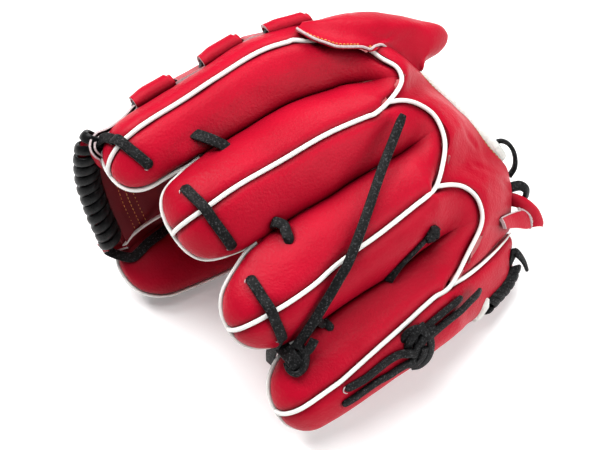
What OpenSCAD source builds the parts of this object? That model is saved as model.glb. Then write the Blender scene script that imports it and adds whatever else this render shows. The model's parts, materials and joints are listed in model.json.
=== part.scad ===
// Fielder's ball glove, worn on the left hand, closed and lying on its little finger, thumb and heel.
// Everything is drawn in the glove's own frame (x from little finger to thumb side, y towards the
// fingertips, z out of the back of the hand) and then laid down by rest().

/* [Size] */
// Length of the finger stalls from knuckles to tip
finger_len = 142; // [136:1:148]
// Thickness of the outer leather
leather = 3; // [2.4:0.2:3.4]
// Height of a finger stall above its middle line, back side
back_rise = 17; // [15:0.5:18]
// Depth of a finger stall below its middle line, palm side
palm_drop = 12; // [10:0.5:13]
// Radius of the piping (welt) between the panels
pipe_r = 1.6; // [1.2:0.1:1.8]

/* [Laces] */
// Width of the rawhide lace
lace_w = 6; // [5:0.5:7]
// Thickness of the rawhide lace
lace_t = 2.4; // [2:0.2:3]

/* [Web and strap] */
// Number of tunnels along each side of the web
tunnels = 3; // [2:1:4]
// Number of turns of lace wound on the top rail of the web
rail_turns = 13; // [9:1:15]
// Width of the wrist strap
strap_w = 26; // [22:1:30]

/* [Hidden] */

// bottom centre of the lying glove's box, measured after the turns below
base = [39.4992, 22.328, -103.7287];
module rest() { translate(-base) rotate([0, 0, -33]) rotate([38, 0, 0]) rotate([0, 0, 122.7]) rotate([12, 0, 0]) children(); }

RED = [0.80, 0.08, 0.15]; WHITE = [0.93, 0.92, 0.89]; BLACK = [0.06, 0.06, 0.07]; FELT = [0.75, 0.72, 0.66]; TAN = [0.72, 0.5, 0.3];

// ---- small helpers ----
function mix(a, b, t) = a + (b - a) * t;
function unit(v) = v / max(norm(v), 1e-9);
function flat(l) = [for (a = l) each a];
// value of a table [[key, v], ...] at key k, straight between rows, v may be a vector
function tab(T, k, i = 0) = let(n = len(T) - 1)
  (i >= n - 1 || k < T[i + 1][0]) ? mix(T[i][1], T[i + 1][1], max(0, min(1, (k - T[i][0]) / (T[i + 1][0] - T[i][0])))) : tab(T, k, i + 1);
// signed volume of a triangle set, to turn every solid the right way out
function vol6(P, F) = let(s = [for (f = F) P[f[0]] * cross(P[f[1]], P[f[2]])]) s * [for (i = [0:len(s) - 1]) 1];
module solid(P, F) { polyhedron(P, vol6(P, F) < 0 ? F : [for (f = F) [f[2], f[1], f[0]]], convexity = 8); }
// a sheet between two grids of points, closed all round its border
module sheet(G0, G1) {
  n = len(G0); m = len(G0[0]); N = n * m;
  P = concat(flat(G0), flat(G1));
  function q(a, b, c, d) = [[a, b, c], [a, c, d]];
  solid(P, concat(
    flat([for (i = [0:n - 2], j = [0:m - 2]) let(a = i * m + j) q(a, a + 1, a + m + 1, a + m)]),
    flat([for (i = [0:n - 2], j = [0:m - 2]) let(a = N + i * m + j) q(a, a + m, a + m + 1, a + 1)]),
    flat([for (j = [0:m - 2]) q(j, N + j, N + j + 1, j + 1)]),
    flat([for (j = [0:m - 2]) let(a = (n - 1) * m + j) q(a, a + 1, N + a + 1, N + a)]),
    flat([for (i = [0:n - 2]) let(a = i * m) q(a, a + m, N + a + m, N + a)]),
    flat([for (i = [0:n - 2]) let(a = i * m + m - 1) q(a, N + a, N + a + m, a + m)])));
}
// tangent of a path at its point i
function tang(p, i) = unit(p[min(i + 1, len(p) - 1)] - p[max(i - 1, 0)]);
// a tube of radius r along a path
module tube(p, r, k = 8) {
  n = len(p);
  P = concat(flat([for (i = [0:n - 1]) let(t = tang(p, i), a = unit(cross(t, abs(t.z) > 0.8 ? [1, 0, 0] : [0, 0, 1])), b = cross(t, a))
      [for (j = [0:k - 1]) p[i] + r * (cos(360 * j / k) * a + sin(360 * j / k) * b)]]), [p[0], p[n - 1]]);
  solid(P, concat(
    flat([for (i = [0:n - 2], j = [0:k - 1]) let(a = i * k + j, b = i * k + (j + 1) % k) [[a, b, b + k], [a, b + k, a + k]]]),
    [for (j = [0:k - 1]) [n * k, (j + 1) % k, j]],
    [for (j = [0:k - 1]) [n * k + 1, (n - 1) * k + j, (n - 1) * k + (j + 1) % k]]));
}
// a flat strip of width w and thickness t along a path, lying square to the normals N
module strip(p, N, w, t) {
  s = [for (i = [0:len(p) - 1]) unit(cross(tang(p, i), N[i]))];
  sheet([for (i = [0:len(p) - 1]) [p[i] - s[i] * w / 2 + N[i] * t / 2, p[i] + s[i] * w / 2 + N[i] * t / 2]],
        [for (i = [0:len(p) - 1]) [p[i] - s[i] * w / 2 - N[i] * t / 2, p[i] + s[i] * w / 2 - N[i] * t / 2]]);
}

// ---- finger stalls: 0 index, 1 middle, 2 ring, 3 little, 4 thumb ----
// rows of [y, [x, z, half width]] along each stall's middle line
MID = [
  [[-64, [77, -31, 22]], [-40, [82.5, -26, 21.5]], [-8, [83, -24, 20.5]], [17, [82, -23, 20.5]], [37, [82, -24, 20.5]], [68.5, [79.5, -28.5, 21.5]]],
  [[-76, [27, -20, 22.5]], [-40, [32, -12, 25]], [-7, [33, -9, 25]], [21, [34, -9, 25]], [42, [33, -11, 24]], [58.5, [33, -16, 25.5]]],
  [[-74, [-21, -19, 23]], [-55, [-22, -14, 24.5]], [-24, [-23, -9, 25]], [-1, [-22, -8, 25]], [22, [-24, -9, 24.5]], [61, [-26.5, -14.5, 20.5]]],
  [[-52, [-76, -33, 24.5]], [-35, [-77, -31, 24.5]], [3, [-77, -28, 24.5]], [40, [-78, -30, 23.5]], [61, [-79.5, -34, 20.5]]],
  [[-72, [25, -125, 25]], [-30, [22, -118, 25]], [20, [23, -110, 24]], [55, [27, -104.5, 23]], [86, [31, -100, 21]]]
];
ROLL = [-18, -5, 7, 13, 180];
SEAM = [13, 0, -3, 2, 0];
function y_base(k) = MID[k][0][0];
// the fingertips move out or in with the finger length
grow = finger_len - 142;
function y_tip(k) = MID[k][len(MID[k]) - 1][0] + grow;
// how far back from its tip each stall starts to narrow
CAP = [24, 18, 19, 17.5, 24];
function g(k, y) = let(u = max(0, (y - y_tip(k) + CAP[k]) / CAP[k])) pow(max(0.004, 1 - pow(u, 2.3)), 1 / 2.3);
// point on stall k at y, angle th from its back's middle, pushed out by off
function fp(k, y, th, off = 0) = let(m = tab(MID[k], y), r = ROLL[k], s = g(k, y),
    a = (m[2] + off) * s * sin(th), h = ((abs(th) > 90 ? palm_drop : back_rise) + off) * s * cos(th))
  [m[0] + a * cos(r) - h * sin(r), y + (s < 1 ? off * 0.9 * (1 - s) : 0), m[1] + a * sin(r) + h * cos(r)];
function ys(k, y0, n = 12) = concat([for (i = [0:n - 5]) mix(y0, y_tip(k) - 22, i / (n - 5))], [y_tip(k) - 14, y_tip(k) - 7.5, y_tip(k) - 2.5, y_tip(k) - 0.4]);
module stall(k, t0, t1, m = 5, y0 = undef) {
  Y = ys(k, is_undef(y0) ? y_base(k) : y0);
  sheet([for (y = Y) [for (j = [0:m]) fp(k, y, mix(t0, t1, j / m))]],
        [for (y = Y) [for (j = [0:m]) fp(k, y, mix(t0, t1, j / m), -leather)]]);
}
// a skin of thickness t laid on a grid of points, t > 0 on the side the grid's normals point to
function gn(G, i, j) = let(n = len(G) - 1, m = len(G[0]) - 1,
    a = G[min(i + 1, n)][j] - G[max(i - 1, 0)][j], b = G[i][min(j + 1, m)] - G[i][max(j - 1, 0)]) unit(cross(a, b));
function lift(G, t) = [for (i = [0:len(G) - 1]) [for (j = [0:len(G[0]) - 1]) G[i][j] + t * gn(G, i, j)]];
module skin(G, t0, t1) sheet(lift(G, t0), lift(G, t1));
// rows between two rows of points, swelling by the vector s in the middle
function loft(A, B, n, s = [0, 0, 0]) = [for (i = [0:n]) [for (j = [0:len(A) - 1]) mix(A[j], B[j], i / n) + 4 * (i / n) * (1 - i / n) * s]];
// rows between several key rows, n steps between each two
function rows(K, n) = concat([K[0]], flat([for (r = [1:len(K) - 1]) [for (i = [1:n]) [for (j = [0:len(K[0]) - 1]) mix(K[r - 1][j], K[r][j], i / n)]]]));
// a path rounded through its points, n steps between each two
function bend(p, n = 4) = concat([p[0]], flat([for (i = [0:len(p) - 2]) let(a = p[max(i - 1, 0)], b = p[i], c = p[i + 1], d = p[min(i + 2, len(p) - 1)])
    [for (s = [1:n]) let(t = s / n) 0.5 * ((2 * b) + (c - a) * t + (2 * a - 5 * b + 4 * c - d) * t * t + (3 * b - a - 3 * c + d) * t * t * t)]]));
// half sections of a stall, just inside its skin, to start a base loft from
function half(k, t0, t1, m = 5) = [for (j = [0:m]) fp(k, y_base(k) + 1.5, mix(t0, t1, j / m), -0.4)];
base_t = leather - 0.8;

// seam lines round the knuckles, from the index side to the little side
ARC2 = [[62, -92, -21], [54, -95, -20], [46, -98.5, -17.5], [39.5, -97.5, -16], [35, -92, -13], [31, -80, -8]];
ARC3 = [[31, -80, -8], [27.5, -89.5, -12], [21, -97, -15], [10, -102, -17], [-4, -99, -17], [-15, -89, -14], [-23, -77, -8]];
ARC4 = [[-23, -77, -8], [-27, -87, -13], [-33, -95, -19], [-43, -99, -24], [-55, -94.5, -27], [-65, -78, -27], [-74.5, -57, -21]];
ARC5 = [[-75, -60, -22], [-76, -76, -32], [-75, -96, -46], [-72, -118, -60]];
function up(P, d) = [for (p = P) p + [0, 0, d]];
// a curve resampled to n points
function pick(P, n) = let(Q = bend(P, 8), m = len(Q) - 1) [for (i = [0:n - 1]) let(t = i * m / (n - 1), f = min(floor(t), m - 1)) mix(Q[f], Q[f + 1], t - f)];

module index_outer_panel() color(RED) union() {
  stall(0, SEAM[0] + 1.5, 91);
  skin(loft(half(0, SEAM[0] + 1.5, 90), [[64, -96, -22], [72, -96, -23], [80, -94, -27], [86, -92, -33], [91, -88, -40], [93, -82, -47]], 3), 0, base_t);
}
module index_middle_panel() color(RED) union() {
  stall(0, SEAM[0] - 1.5, -91);
  stall(1, SEAM[1] + 1.5, 91);
  skin(loft(concat(half(0, SEAM[0] - 1.5, -88), half(1, 88, SEAM[1] + 1.5)), pick(ARC2, 12), 4), 0, base_t);
}
module middle_ring_panel() color(RED) union() {
  stall(1, SEAM[1] - 1.5, -91);
  stall(2, SEAM[2] + 1.5, 91);
  skin(loft(concat(half(1, SEAM[1] - 1.5, -88), half(2, 88, SEAM[2] + 1.5)), pick(ARC3, 12), 4), 0, base_t);
}
module ring_little_panel() color(RED) union() {
  stall(2, SEAM[2] - 1.5, -91);
  stall(3, SEAM[3] + 1.5, 91);
  skin(loft(concat(half(2, SEAM[2] - 1.5, -88), half(3, 88, SEAM[3] + 1.5)), pick(ARC4, 12), 4), 0, base_t);
}
module little_outer_panel() color(RED) union() {
  stall(3, SEAM[3] - 1.5, -91);
  skin(rows([half(3, SEAM[3] - 1.5, -90),
    [[-78, -76, -33], [-84, -76, -35], [-91, -76, -41], [-98, -77, -50], [-102, -78, -60], [-104, -79, -72]],
    [[-77, -97, -47], [-83, -98, -49], [-90, -99, -54], [-97, -100, -62], [-101, -101, -71], [-102, -101, -80]],
    [[-74, -119, -61], [-79, -119, -62], [-84, -119, -66], [-90, -118, -72], [-93, -117, -80], [-94, -116, -86]]], 2), 0, base_t);
}
module front(k) stall(k, 94, 266, 8);
module index_front() color(RED) front(0);
module middle_front() color(RED) front(1);
module ring_front() color(RED) front(2);
module little_front() color(RED) front(3);
TOP = [[60, -98, -22], [47, -104, -18], [38, -101, -18], [31, -88, -12], [22, -102, -17], [4, -108, -18], [-15, -95, -15], [-23, -84, -12], [-30, -99, -19], [-43, -105, -25], [-58, -99, -29], [-70, -78, -31]];
LOW = [[54, -110, -36], [42, -115, -41], [30, -118, -43], [20, -120, -43], [6, -123, -44], [-8, -126, -46], [-18, -129, -48], [-27, -131, -52], [-36, -133, -55], [-48, -130, -58], [-60, -124, -59], [-69, -117, -59]];
module back_panel() color(RED) skin(loft(TOP, LOW, 4, [0, -2, 3]), 0, leather);

PALM = [
  [[-97, -64, -55], [-75, -64, -56], [-40, -64, -43], [0, -64, -38], [40, -64, -38], [68, -64, -49], [86, -64, -55]],
  [[-97, -90, -68], [-75, -90, -64], [-40, -90, -54], [0, -90, -50], [40, -90, -50], [64, -90, -58], [84, -90, -63]],
  [[-95, -108, -80], [-75, -108, -78], [-40, -108, -70], [0, -108, -66], [40, -108, -66], [60, -108, -72], [78, -108, -77]],
  [[-87, -121, -92], [-70, -121, -94], [-40, -121, -92], [0, -121, -90], [40, -121, -90], [56, -121, -92], [70, -121, -95]]];
PG = rows(PALM, 2);
module palm_panel() color(RED) skin(PG, 0, leather);
// layers on the hand's side of the palm cover the middle of its grid only
function within(G) = [for (i = [2:5]) [for (j = [1:5]) G[i][j]]];
module layer(t0, t1) sheet(within(lift(PG, t0)), within(lift(PG, t1)));
module palm_felt() color(FELT) layer(leather + 0.4, leather + 3.6);
module palm_lining() color(TAN) layer(leather + 4, leather + 5.2);

module centre_piping(k, foot) color(WHITE) tube(concat(bend(foot, 3), [for (y = ys(k, y_base(k) + 6)) fp(k, y, SEAM[k], pipe_r + 0.15)]), pipe_r);
module index_piping() centre_piping(0, [[84, -68, -13]]);
module middle_piping() centre_piping(1, up([for (i = [0:5]) ARC2[i] + [0, -1, 0]], 2));
module ring_piping() centre_piping(2, up([for (i = [1:6]) ARC3[i] + [0, -1, 0]], 2));
module little_piping() centre_piping(3, up([for (i = [1:6]) ARC4[i] + [0, -1, 0]], 2));
module heel_piping() color(WHITE) tube(bend([for (p = ARC5) p + [0.5, -3.5, 1.2]], 3), pipe_r);
// piping round the tip, in the seam between back and front
module edge_piping(k, ya, yb) color(WHITE) tube(concat(
  [for (y = [ya:12:y_tip(k) - 23]) fp(k, y, 92.5, pipe_r + 0.2)],
  [for (d = [20, 14, 8, 3.5, 1]) fp(k, y_tip(k) - d, 92.5, pipe_r + 0.2)],
  [for (d = [1, 3.5, 8, 14, 20]) fp(k, y_tip(k) - d, -92.5, pipe_r + 0.2)],
  [for (y = [y_tip(k) - 24:-12:yb]) fp(k, y, -92.5, pipe_r + 0.2)]), pipe_r, 6);
module index_edge_piping() edge_piping(0, 30, 30);
module middle_edge_piping() edge_piping(1, 30, 30);
module ring_edge_piping() edge_piping(2, 30, 30);
module little_edge_piping() edge_piping(3, 30, -46);
module thumb_edge_piping() edge_piping(4, -40, 10);

// ---- laces ----
// lace over the back of stall k from [y, th] to [y, th], humped over the centre piping
module over(k, a, b, n = 12) {
  Q = [for (i = [0:n]) let(q = mix(a, b, i / n), h = abs(q[1] - SEAM[k])) [q[0], q[1], lace_t / 2 + 0.2 + (h < 20 ? (2 * pipe_r + 0.3) * (0.5 + 0.5 * cos(9 * h)) : 0)]];
  strip([for (q = Q) fp(k, q[0], q[1], q[2])], [for (q = Q) unit(fp(k, q[0], q[1], 4) - fp(k, q[0], q[1], 0))], lace_w, lace_t);
}
module finger_lace() color(BLACK) { over(0, [55, 56], [46, -34]); over(1, [42, 46], [37, -72]); over(2, [38, 42], [41, -66]); }
module crotch_lace() color(BLACK) {
  tube(bend([fp(0, 21, -44, 2), [65, 17, -4], [59, 12, -5], fp(1, 10, 50, 2)], 4), 1.7);
  tube(bend([[5, 13, -12], [5, 11, 1], [1, 10, 2], fp(2, 9, 50, 2)], 4), 1.7);
  tube(bend([[-50, 18, -18], [-50, 17, -6], [-53, 16, -6], fp(3, 15, 62, 2)], 4), 1.7);
}
// the knot at the little fingertip: a wound body and the end that goes down into the crease
module tip_knot() color(BLACK) {
  hull() { translate([-57, 38, -4]) sphere(4.5, $fn = 14); translate([-62, 43, -5]) sphere(4, $fn = 14); translate([-57, 33, -3]) sphere(3.6, $fn = 14); }
}
LOOSE = [[-56, 27, -1], [-51, 18, 1], [-41, 6, 6], [-30, -8, 11.6], [-24, -15, 14.4], [-18, -23, 13], [-7, -38, 11], [6, -57, 7], [19, -78, 4]];
module loose_lace() color(BLACK) tube(bend(LOOSE, 2), 2, 8);
// the lace along the little finger's outer side, and its square knot
module side_lace() color(BLACK) {
  strip([for (y = [30:-7:-33]) fp(3, y, -50, lace_t / 2 + 0.2)], [for (y = [30:-7:-33]) unit(fp(3, y, -50, 4) - fp(3, y, -50, 0))], lace_w, lace_t);
  strip(bend([[-92, -44, -12], [-91, -58, -20], [-92, -70, -32]], 3), [for (i = [0:6]) unit([-0.5, -0.5, 0.75])], lace_w, lace_t);
}
module side_knot() color(BLACK) hull() for (p = [[-95, -38, -9], [-91, -35, -8], [-95, -41, -11], [-91, -42, -9]]) translate(p) sphere(2.6, $fn = 12);
// a lace wound in turns of radius r along a path
module wound(p, r, turns, t, k = 9) {
  n = turns * k; m = len(p) - 1;
  tube([for (i = [0:n]) let(s = i * m / n, f = min(floor(s), m - 1), c = mix(p[f], p[f + 1], s - f), T = tang(p, min(f, m - 1)),
    a = unit(cross(T, [0, 0, 1])), b = cross(T, a)) c + r * (cos(360 * i / k) * a + sin(360 * i / k) * b)], t, 6);
}
module heel_lace() color(BLACK) wound([[-104, -84, -60], [-104, -94, -64], [-102, -104, -70], [-98, -114, -76]], 3.2, 5, 1.4);

// ---- wrist ----
module wrist_strap() color(RED) { P = bend([[60, -113, -60], [38, -117, -61], [6, -119, -62], [-25, -120, -64], [-54, -118, -66]], 3); strip(P, [for (p = P) unit([0, -0.75, 0.66])], strap_w - 6, leather); }
module wrist_fleece() color(WHITE) tube([for (p = bend([for (i = [0:2:10]) LOW[i]], 2)) p + [0, -4.6, -3.4]], 3.6, 8);
module strap_loop() color(RED) { P = bend([[-62, -121, -70], [-64, -134, -71], [-69, -146, -74], [-78, -146, -80], [-84, -136, -84]], 3); strip(P, [for (i = [0:len(P) - 1]) unit(cross(tang(P, i), [-0.5, 0.1, 0.85]))], 15, 2.4); }
module strap_lace() color(BLACK) tube(bend([[-48, -126, -70], [-40, -138, -66], [-30, -142, -63], [-16, -140, -62], [-12, -130, -66]], 3), 1.7);
module inner_loop(k, y) color(TAN) strip([for (t = [-60:20:60]) fp(k, y, t, -leather - 4)], [for (t = [-60:20:60]) unit(fp(k, y, t, 4) - fp(k, y, t, 0))], 14, 2);
module little_loop() inner_loop(3, -40);
module thumb_loop() inner_loop(4, -50);
module little_heel_pad() color(FELT) hull() for (p = [[-83, -84, -50], [-81, -88, -52], [-82, -98, -60], [-80, -100, -60]]) translate(p) sphere(5, $fn = 16);

// ---- web side of the index finger: a strip with tunnels, and the lace that runs through them ----
TUN = [for (i = [0:tunnels - 1]) let(L = 132 / tunnels) [-78 + L * i + 2, -78 + L * i + 2 + 0.64 * L]];
function hump(y) = max([for (t = TUN) (y > t[0] && y < t[1]) ? pow(sin(180 * (y - t[0]) / (t[1] - t[0])), 0.5) : 0]);
function edge_x(y) = y < -40 ? mix(99, 105.5, (y + 84) / 44) : y > 40 ? mix(105.5, 101.5, (y - 40) / 20) : 105.5;
function sp(y, v, off) = [edge_x(y) + 4 * v, y, -28 - 12 * v] + (off + 4.6 * hump(y)) * [0.95, 0, 0.32];
module index_web_strip() color(RED) { Y = [for (i = [0:43]) -76 + 3.1 * i]; sheet([for (y = Y) [for (v = [0, 0.35, 0.7, 1]) sp(y, v, 0)]], [for (y = Y) [for (v = [0, 0.35, 0.7, 1]) sp(y, v, -2)]]); }
module index_web_lace() color(BLACK) { Y = [for (i = [0:12]) -78 + 11 * i]; strip([for (y = Y) [edge_x(y) + 2, y, -34] + 1.5 * [0.95, 0, 0.32]], [for (y = Y) unit([0.95, 0, 0.32])], lace_w, 1.6); }

// ---- hood over the index finger hole, hinged on its sewn edge ----
HOOD = [
  [[97, -63, -12], [84, -80, -5], [69, -95, -7], [56, -107, -10]],
  [[97, -70, -17], [88, -91, -15], [72, -111, -20], [48, -121, -27]],
  [[99, -76, -24], [91, -100, -26], [75, -127, -38], [40, -138, -45]],
  [[99, -82, -29], [88, -105, -33], [73, -133, -47], [49, -151, -57]]];
module finger_hood() color(RED) skin(rows(HOOD, 2), 0, 2.4);

// ---- thumb ----
module thumb_back() color(RED) union() {
  stall(4, -91, 91, 10);
  skin(rows([[for (j = [0:10]) fp(4, y_base(4) + 1.5, -90 + 18 * j, -0.4)],
    [[56, -98, -124], [50, -98, -134], [42, -98, -142], [34, -98, -145], [26, -98, -146], [18, -98, -146], [8, -98, -143], [-2, -98, -138], [-10, -98, -132], [-17, -98, -125], [-22, -98, -119]],
    [[62, -119, -118], [56, -119, -126], [46, -119, -134], [36, -119, -139], [26, -119, -139], [16, -119, -138], [4, -119, -136], [-8, -119, -132], [-18, -119, -127], [-28, -119, -121], [-36, -119, -115]]], 2), 0, base_t);
}
module thumb_front() color(RED) stall(4, 94, 266, 8, -48);
THUMB = [
  [[6, -52, -112], [24, -52, -111], [46, -52, -110], [72, -52, -94], [88, -52, -76], [98, -52, -60]],
  [[-6, -80, -118], [18, -80, -116], [50, -80, -113], [70, -80, -100], [86, -80, -84], [95, -80, -68]],
  [[-20, -104, -122], [6, -104, -121], [44, -104, -118], [64, -104, -108], [80, -104, -94], [88, -104, -80]],
  [[-36, -120, -113], [-4, -120, -112], [36, -120, -112], [58, -120, -107], [72, -120, -101], [82, -120, -91]]];
module thumb_palm_panel() color(RED) skin(rows(THUMB, 2), -leather, 0);
module thumb_heel_pad() color(FELT) hull() for (p = [[2, -82, -128], [40, -82, -128], [0, -104, -129], [42, -104, -128]]) translate(p) sphere(4, $fn = 16);
module thumb_lace() color(BLACK) { over(4, [76, -106], [56, -148]); }

// ---- web between thumb and index finger ----
WEB0 = [[104, -45, -46], [102, -45, -60], [92, -45, -77], [79, -45, -90], [67, -45, -99], [57, -45, -106]];
WEB1 = [[104, 60, -44], [101, 67, -54], [91, 73, -64], [76, 77, -74], [63, 78, -81], [55, 77, -86]];
WEB = loft(WEB0, WEB1, 6, [2, 0, -3]);
module web_panel() color(RED) skin(WEB, -leather, 0);
module web_lining() color(RED * 0.8) skin([for (r = WEB) [for (j = [1:5]) r[j]]], 0.4, 2);
RAIL = [[104, 65, -44], [101, 72, -53], [91, 79, -64], [76, 83.5, -74], [63, 84.5, -81], [55, 83, -86]];
module web_rail() color(RED) tube(bend(RAIL, 3), 3.6);
module web_rail_lace() color(BLACK) wound(bend(RAIL, 4), 5.2, rail_turns, 1.35);
module thumb_web_strip() color(RED) { Y = [for (i = [0:12]) -36 + 9 * i]; sheet([for (y = Y) let(m = tab(MID[4], y)) [[m[0] + m[2] + 2, y, m[1] - 4], [m[0] + m[2] + 7, y, m[1] + 4], [m[0] + m[2] + 9, y, m[1] + 6]]],
  [for (y = Y) let(m = tab(MID[4], y)) [[m[0] + m[2] + 4, y, m[1] - 5.4], [m[0] + m[2] + 8.6, y, m[1] + 2.4], [m[0] + m[2] + 10.6, y, m[1] + 4.4]]]); }
module thumb_web_lace() color(BLACK) for (y = [-30, 0, 30]) let(m = tab(MID[4], y)) tube([for (q = [[2, -8], [8.5, -4], [12, 2]]) [m[0] + m[2] + q[0] + 1, y + q[1] / 2, m[1] + q[1]]], 1.3, 6);

rest() index_outer_panel();
rest() index_middle_panel();
rest() middle_ring_panel();
rest() ring_little_panel();
rest() little_outer_panel();
rest() index_front();
rest() middle_front();
rest() ring_front();
rest() little_front();
rest() back_panel();
rest() palm_panel();
rest() palm_felt();
rest() palm_lining();
rest() index_piping();
rest() middle_piping();
rest() ring_piping();
rest() little_piping();
rest() heel_piping();
rest() index_edge_piping();
rest() middle_edge_piping();
rest() ring_edge_piping();
rest() little_edge_piping();
rest() finger_lace();
rest() crotch_lace();
rest() tip_knot();
rest() loose_lace();
rest() side_lace();
rest() side_knot();
rest() heel_lace();
rest() wrist_strap();
rest() wrist_fleece();
rest() strap_loop();
rest() strap_lace();
rest() little_loop();
rest() little_heel_pad();
rest() index_web_strip();
rest() index_web_lace();
rest() finger_hood();
rest() thumb_back();
rest() thumb_front();
rest() thumb_edge_piping();
rest() thumb_lace();
rest() thumb_palm_panel();
rest() thumb_heel_pad();
rest() thumb_loop();
rest() web_panel();
rest() web_lining();
rest() web_rail();
rest() web_rail_lace();
rest() thumb_web_strip();
rest() thumb_web_lace();
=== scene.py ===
import bpy, json, math
import numpy as np
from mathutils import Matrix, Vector

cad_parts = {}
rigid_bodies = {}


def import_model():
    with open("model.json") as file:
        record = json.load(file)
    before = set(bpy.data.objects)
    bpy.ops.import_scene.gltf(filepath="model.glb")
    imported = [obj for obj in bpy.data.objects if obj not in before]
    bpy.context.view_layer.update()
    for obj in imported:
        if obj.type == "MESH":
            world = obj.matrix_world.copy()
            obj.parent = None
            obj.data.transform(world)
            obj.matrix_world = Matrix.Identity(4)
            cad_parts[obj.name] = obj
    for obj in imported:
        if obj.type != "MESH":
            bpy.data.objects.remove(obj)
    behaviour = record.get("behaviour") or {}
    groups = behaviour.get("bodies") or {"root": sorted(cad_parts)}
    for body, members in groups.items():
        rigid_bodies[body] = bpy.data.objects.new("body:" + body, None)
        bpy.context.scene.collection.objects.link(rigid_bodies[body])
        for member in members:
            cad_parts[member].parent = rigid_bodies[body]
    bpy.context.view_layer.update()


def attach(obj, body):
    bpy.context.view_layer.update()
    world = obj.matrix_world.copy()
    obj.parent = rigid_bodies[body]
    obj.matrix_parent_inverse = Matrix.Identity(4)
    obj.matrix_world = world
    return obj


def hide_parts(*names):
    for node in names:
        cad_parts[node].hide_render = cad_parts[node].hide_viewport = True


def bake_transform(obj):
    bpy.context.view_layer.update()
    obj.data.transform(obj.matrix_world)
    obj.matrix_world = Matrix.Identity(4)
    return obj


sc = bpy.context.scene
for o in list(bpy.data.objects):
    if o.type in ("CAMERA", "LIGHT") or o.name == "Cube":
        bpy.data.objects.remove(o)
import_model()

# ---------------------------------------------------------------- the glove's own frame, in mm, laid down as in part.scad
def _rz(d):
    c, s = math.cos(math.radians(d)), math.sin(math.radians(d)); return np.array([[c, -s, 0], [s, c, 0], [0, 0, 1.0]])
def _rx(d):
    c, s = math.cos(math.radians(d)), math.sin(math.radians(d)); return np.array([[1.0, 0, 0], [0, c, -s], [0, s, c]])
REST = _rz(-33) @ _rx(38) @ _rz(122.7) @ _rx(12)
BASE = np.array([39.4992, 22.328, -103.7287])
def W(p):
    return (np.asarray(p, float) @ REST.T - BASE) / 1000.0
def A(*p):
    return np.array(p, float)

# ---------------------------------------------------------------- camera
cam = bpy.data.objects.new("camera", bpy.data.cameras.new("camera"))
sc.collection.objects.link(cam)
sc.camera = cam
cam.data.lens, cam.data.sensor_width = 85, 36
cam.data.clip_start, cam.data.clip_end = 0.02, 20
_back = Vector((-0.3353, -0.5164, 0.788)).normalized()
cam.location = Vector(W([0, 0, 0])) + 0.765 * _back
cam.rotation_euler = (-_back).to_track_quat("-Z", "Y").to_euler()

# ---------------------------------------------------------------- materials
MATS = {}
def nodes_of(name):
    m = bpy.data.materials.new(name); m.use_nodes = True
    nt = m.node_tree; nt.nodes.clear()
    out = nt.nodes.new("ShaderNodeOutputMaterial"); b = nt.nodes.new("ShaderNodeBsdfPrincipled")
    nt.links.new(b.outputs[0], out.inputs[0])
    co = nt.nodes.new("ShaderNodeTexCoord")
    MATS[name] = m
    return m, nt, b, co.outputs["Object"]
def tex(nt, co, kind, scale, detail=2.0, **kw):
    n = nt.nodes.new({"noise": "ShaderNodeTexNoise", "voronoi": "ShaderNodeTexVoronoi", "wave": "ShaderNodeTexWave"}[kind])
    n.inputs["Scale"].default_value = scale
    if "Detail" in n.inputs: n.inputs["Detail"].default_value = detail
    for k, v in kw.items():
        if k in ("feature", "wave_type", "bands_direction"): setattr(n, k, v)
        else: n.inputs[k].default_value = v
    nt.links.new(co, n.inputs["Vector"])
    return n
def ramp(nt, src, stops):
    r = nt.nodes.new("ShaderNodeValToRGB"); nt.links.new(src, r.inputs[0])
    e = r.color_ramp.elements
    while len(e) > 1: e.remove(e[-1])
    e[0].position, e[0].color = stops[0][0], (*stops[0][1], 1)
    for p, c in stops[1:]:
        x = e.new(p); x.color = (*c, 1)
    return r.outputs[0]
def math_(nt, op, a, b=None):
    m = nt.nodes.new("ShaderNodeMath"); m.operation = op
    for i, v in enumerate((a, b)):
        if v is None: continue
        if isinstance(v, (int, float)): m.inputs[i].default_value = v
        else: nt.links.new(v, m.inputs[i])
    return m.outputs[0]
def bump(nt, b, h, strength, dist, prev=None):
    n = nt.nodes.new("ShaderNodeBump"); n.inputs["Strength"].default_value = strength; n.inputs["Distance"].default_value = dist
    nt.links.new(h, n.inputs["Height"])
    if prev: nt.links.new(prev, n.inputs["Normal"])
    nt.links.new(n.outputs[0], b.inputs["Normal"])
    return n.outputs[0]
def leather(name, hi, lo, rough=0.42, grain=620, gs=0.35, gd=0.00022, spec=0.5, coat=0.0, painted_crease_shade=0.0):
    m, nt, b, co = nodes_of(name)
    big = tex(nt, co, "noise", 28, 4.0)
    tone = ramp(nt, big.outputs[0], [(0.3, lo), (0.62, hi)])
    if painted_crease_shade:  # painted shade: ambient occlusion darkens the base colour down in the creases
        a = nt.nodes.new("ShaderNodeAmbientOcclusion"); a.samples = 3; a.inputs["Distance"].default_value = painted_crease_shade
        nt.links.new(tone, a.inputs["Color"]); tone = a.outputs["Color"]
    nt.links.new(tone, b.inputs["Base Color"])
    v = tex(nt, co, "voronoi", grain, feature="SMOOTH_F1", Smoothness=0.6)
    f = tex(nt, co, "noise", grain * 2.6, 3.0)
    w = tex(nt, co, "noise", 120, 3.0)
    h = math_(nt, "ADD", math_(nt, "MULTIPLY", v.outputs["Distance"], 1.0), math_(nt, "MULTIPLY", f.outputs[0], 0.35))
    n1 = bump(nt, b, w.outputs[0], 0.22, 0.0006)
    bump(nt, b, h, gs, gd, n1)
    nt.links.new(ramp(nt, f.outputs[0], [(0.25, (rough - 0.07,) * 3), (0.75, (rough + 0.1,) * 3)]), b.inputs["Roughness"])
    b.inputs["Specular IOR Level"].default_value = spec
    b.inputs["Coat Weight"].default_value = coat
    b.inputs["Coat Roughness"].default_value = 0.35
    return m
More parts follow.
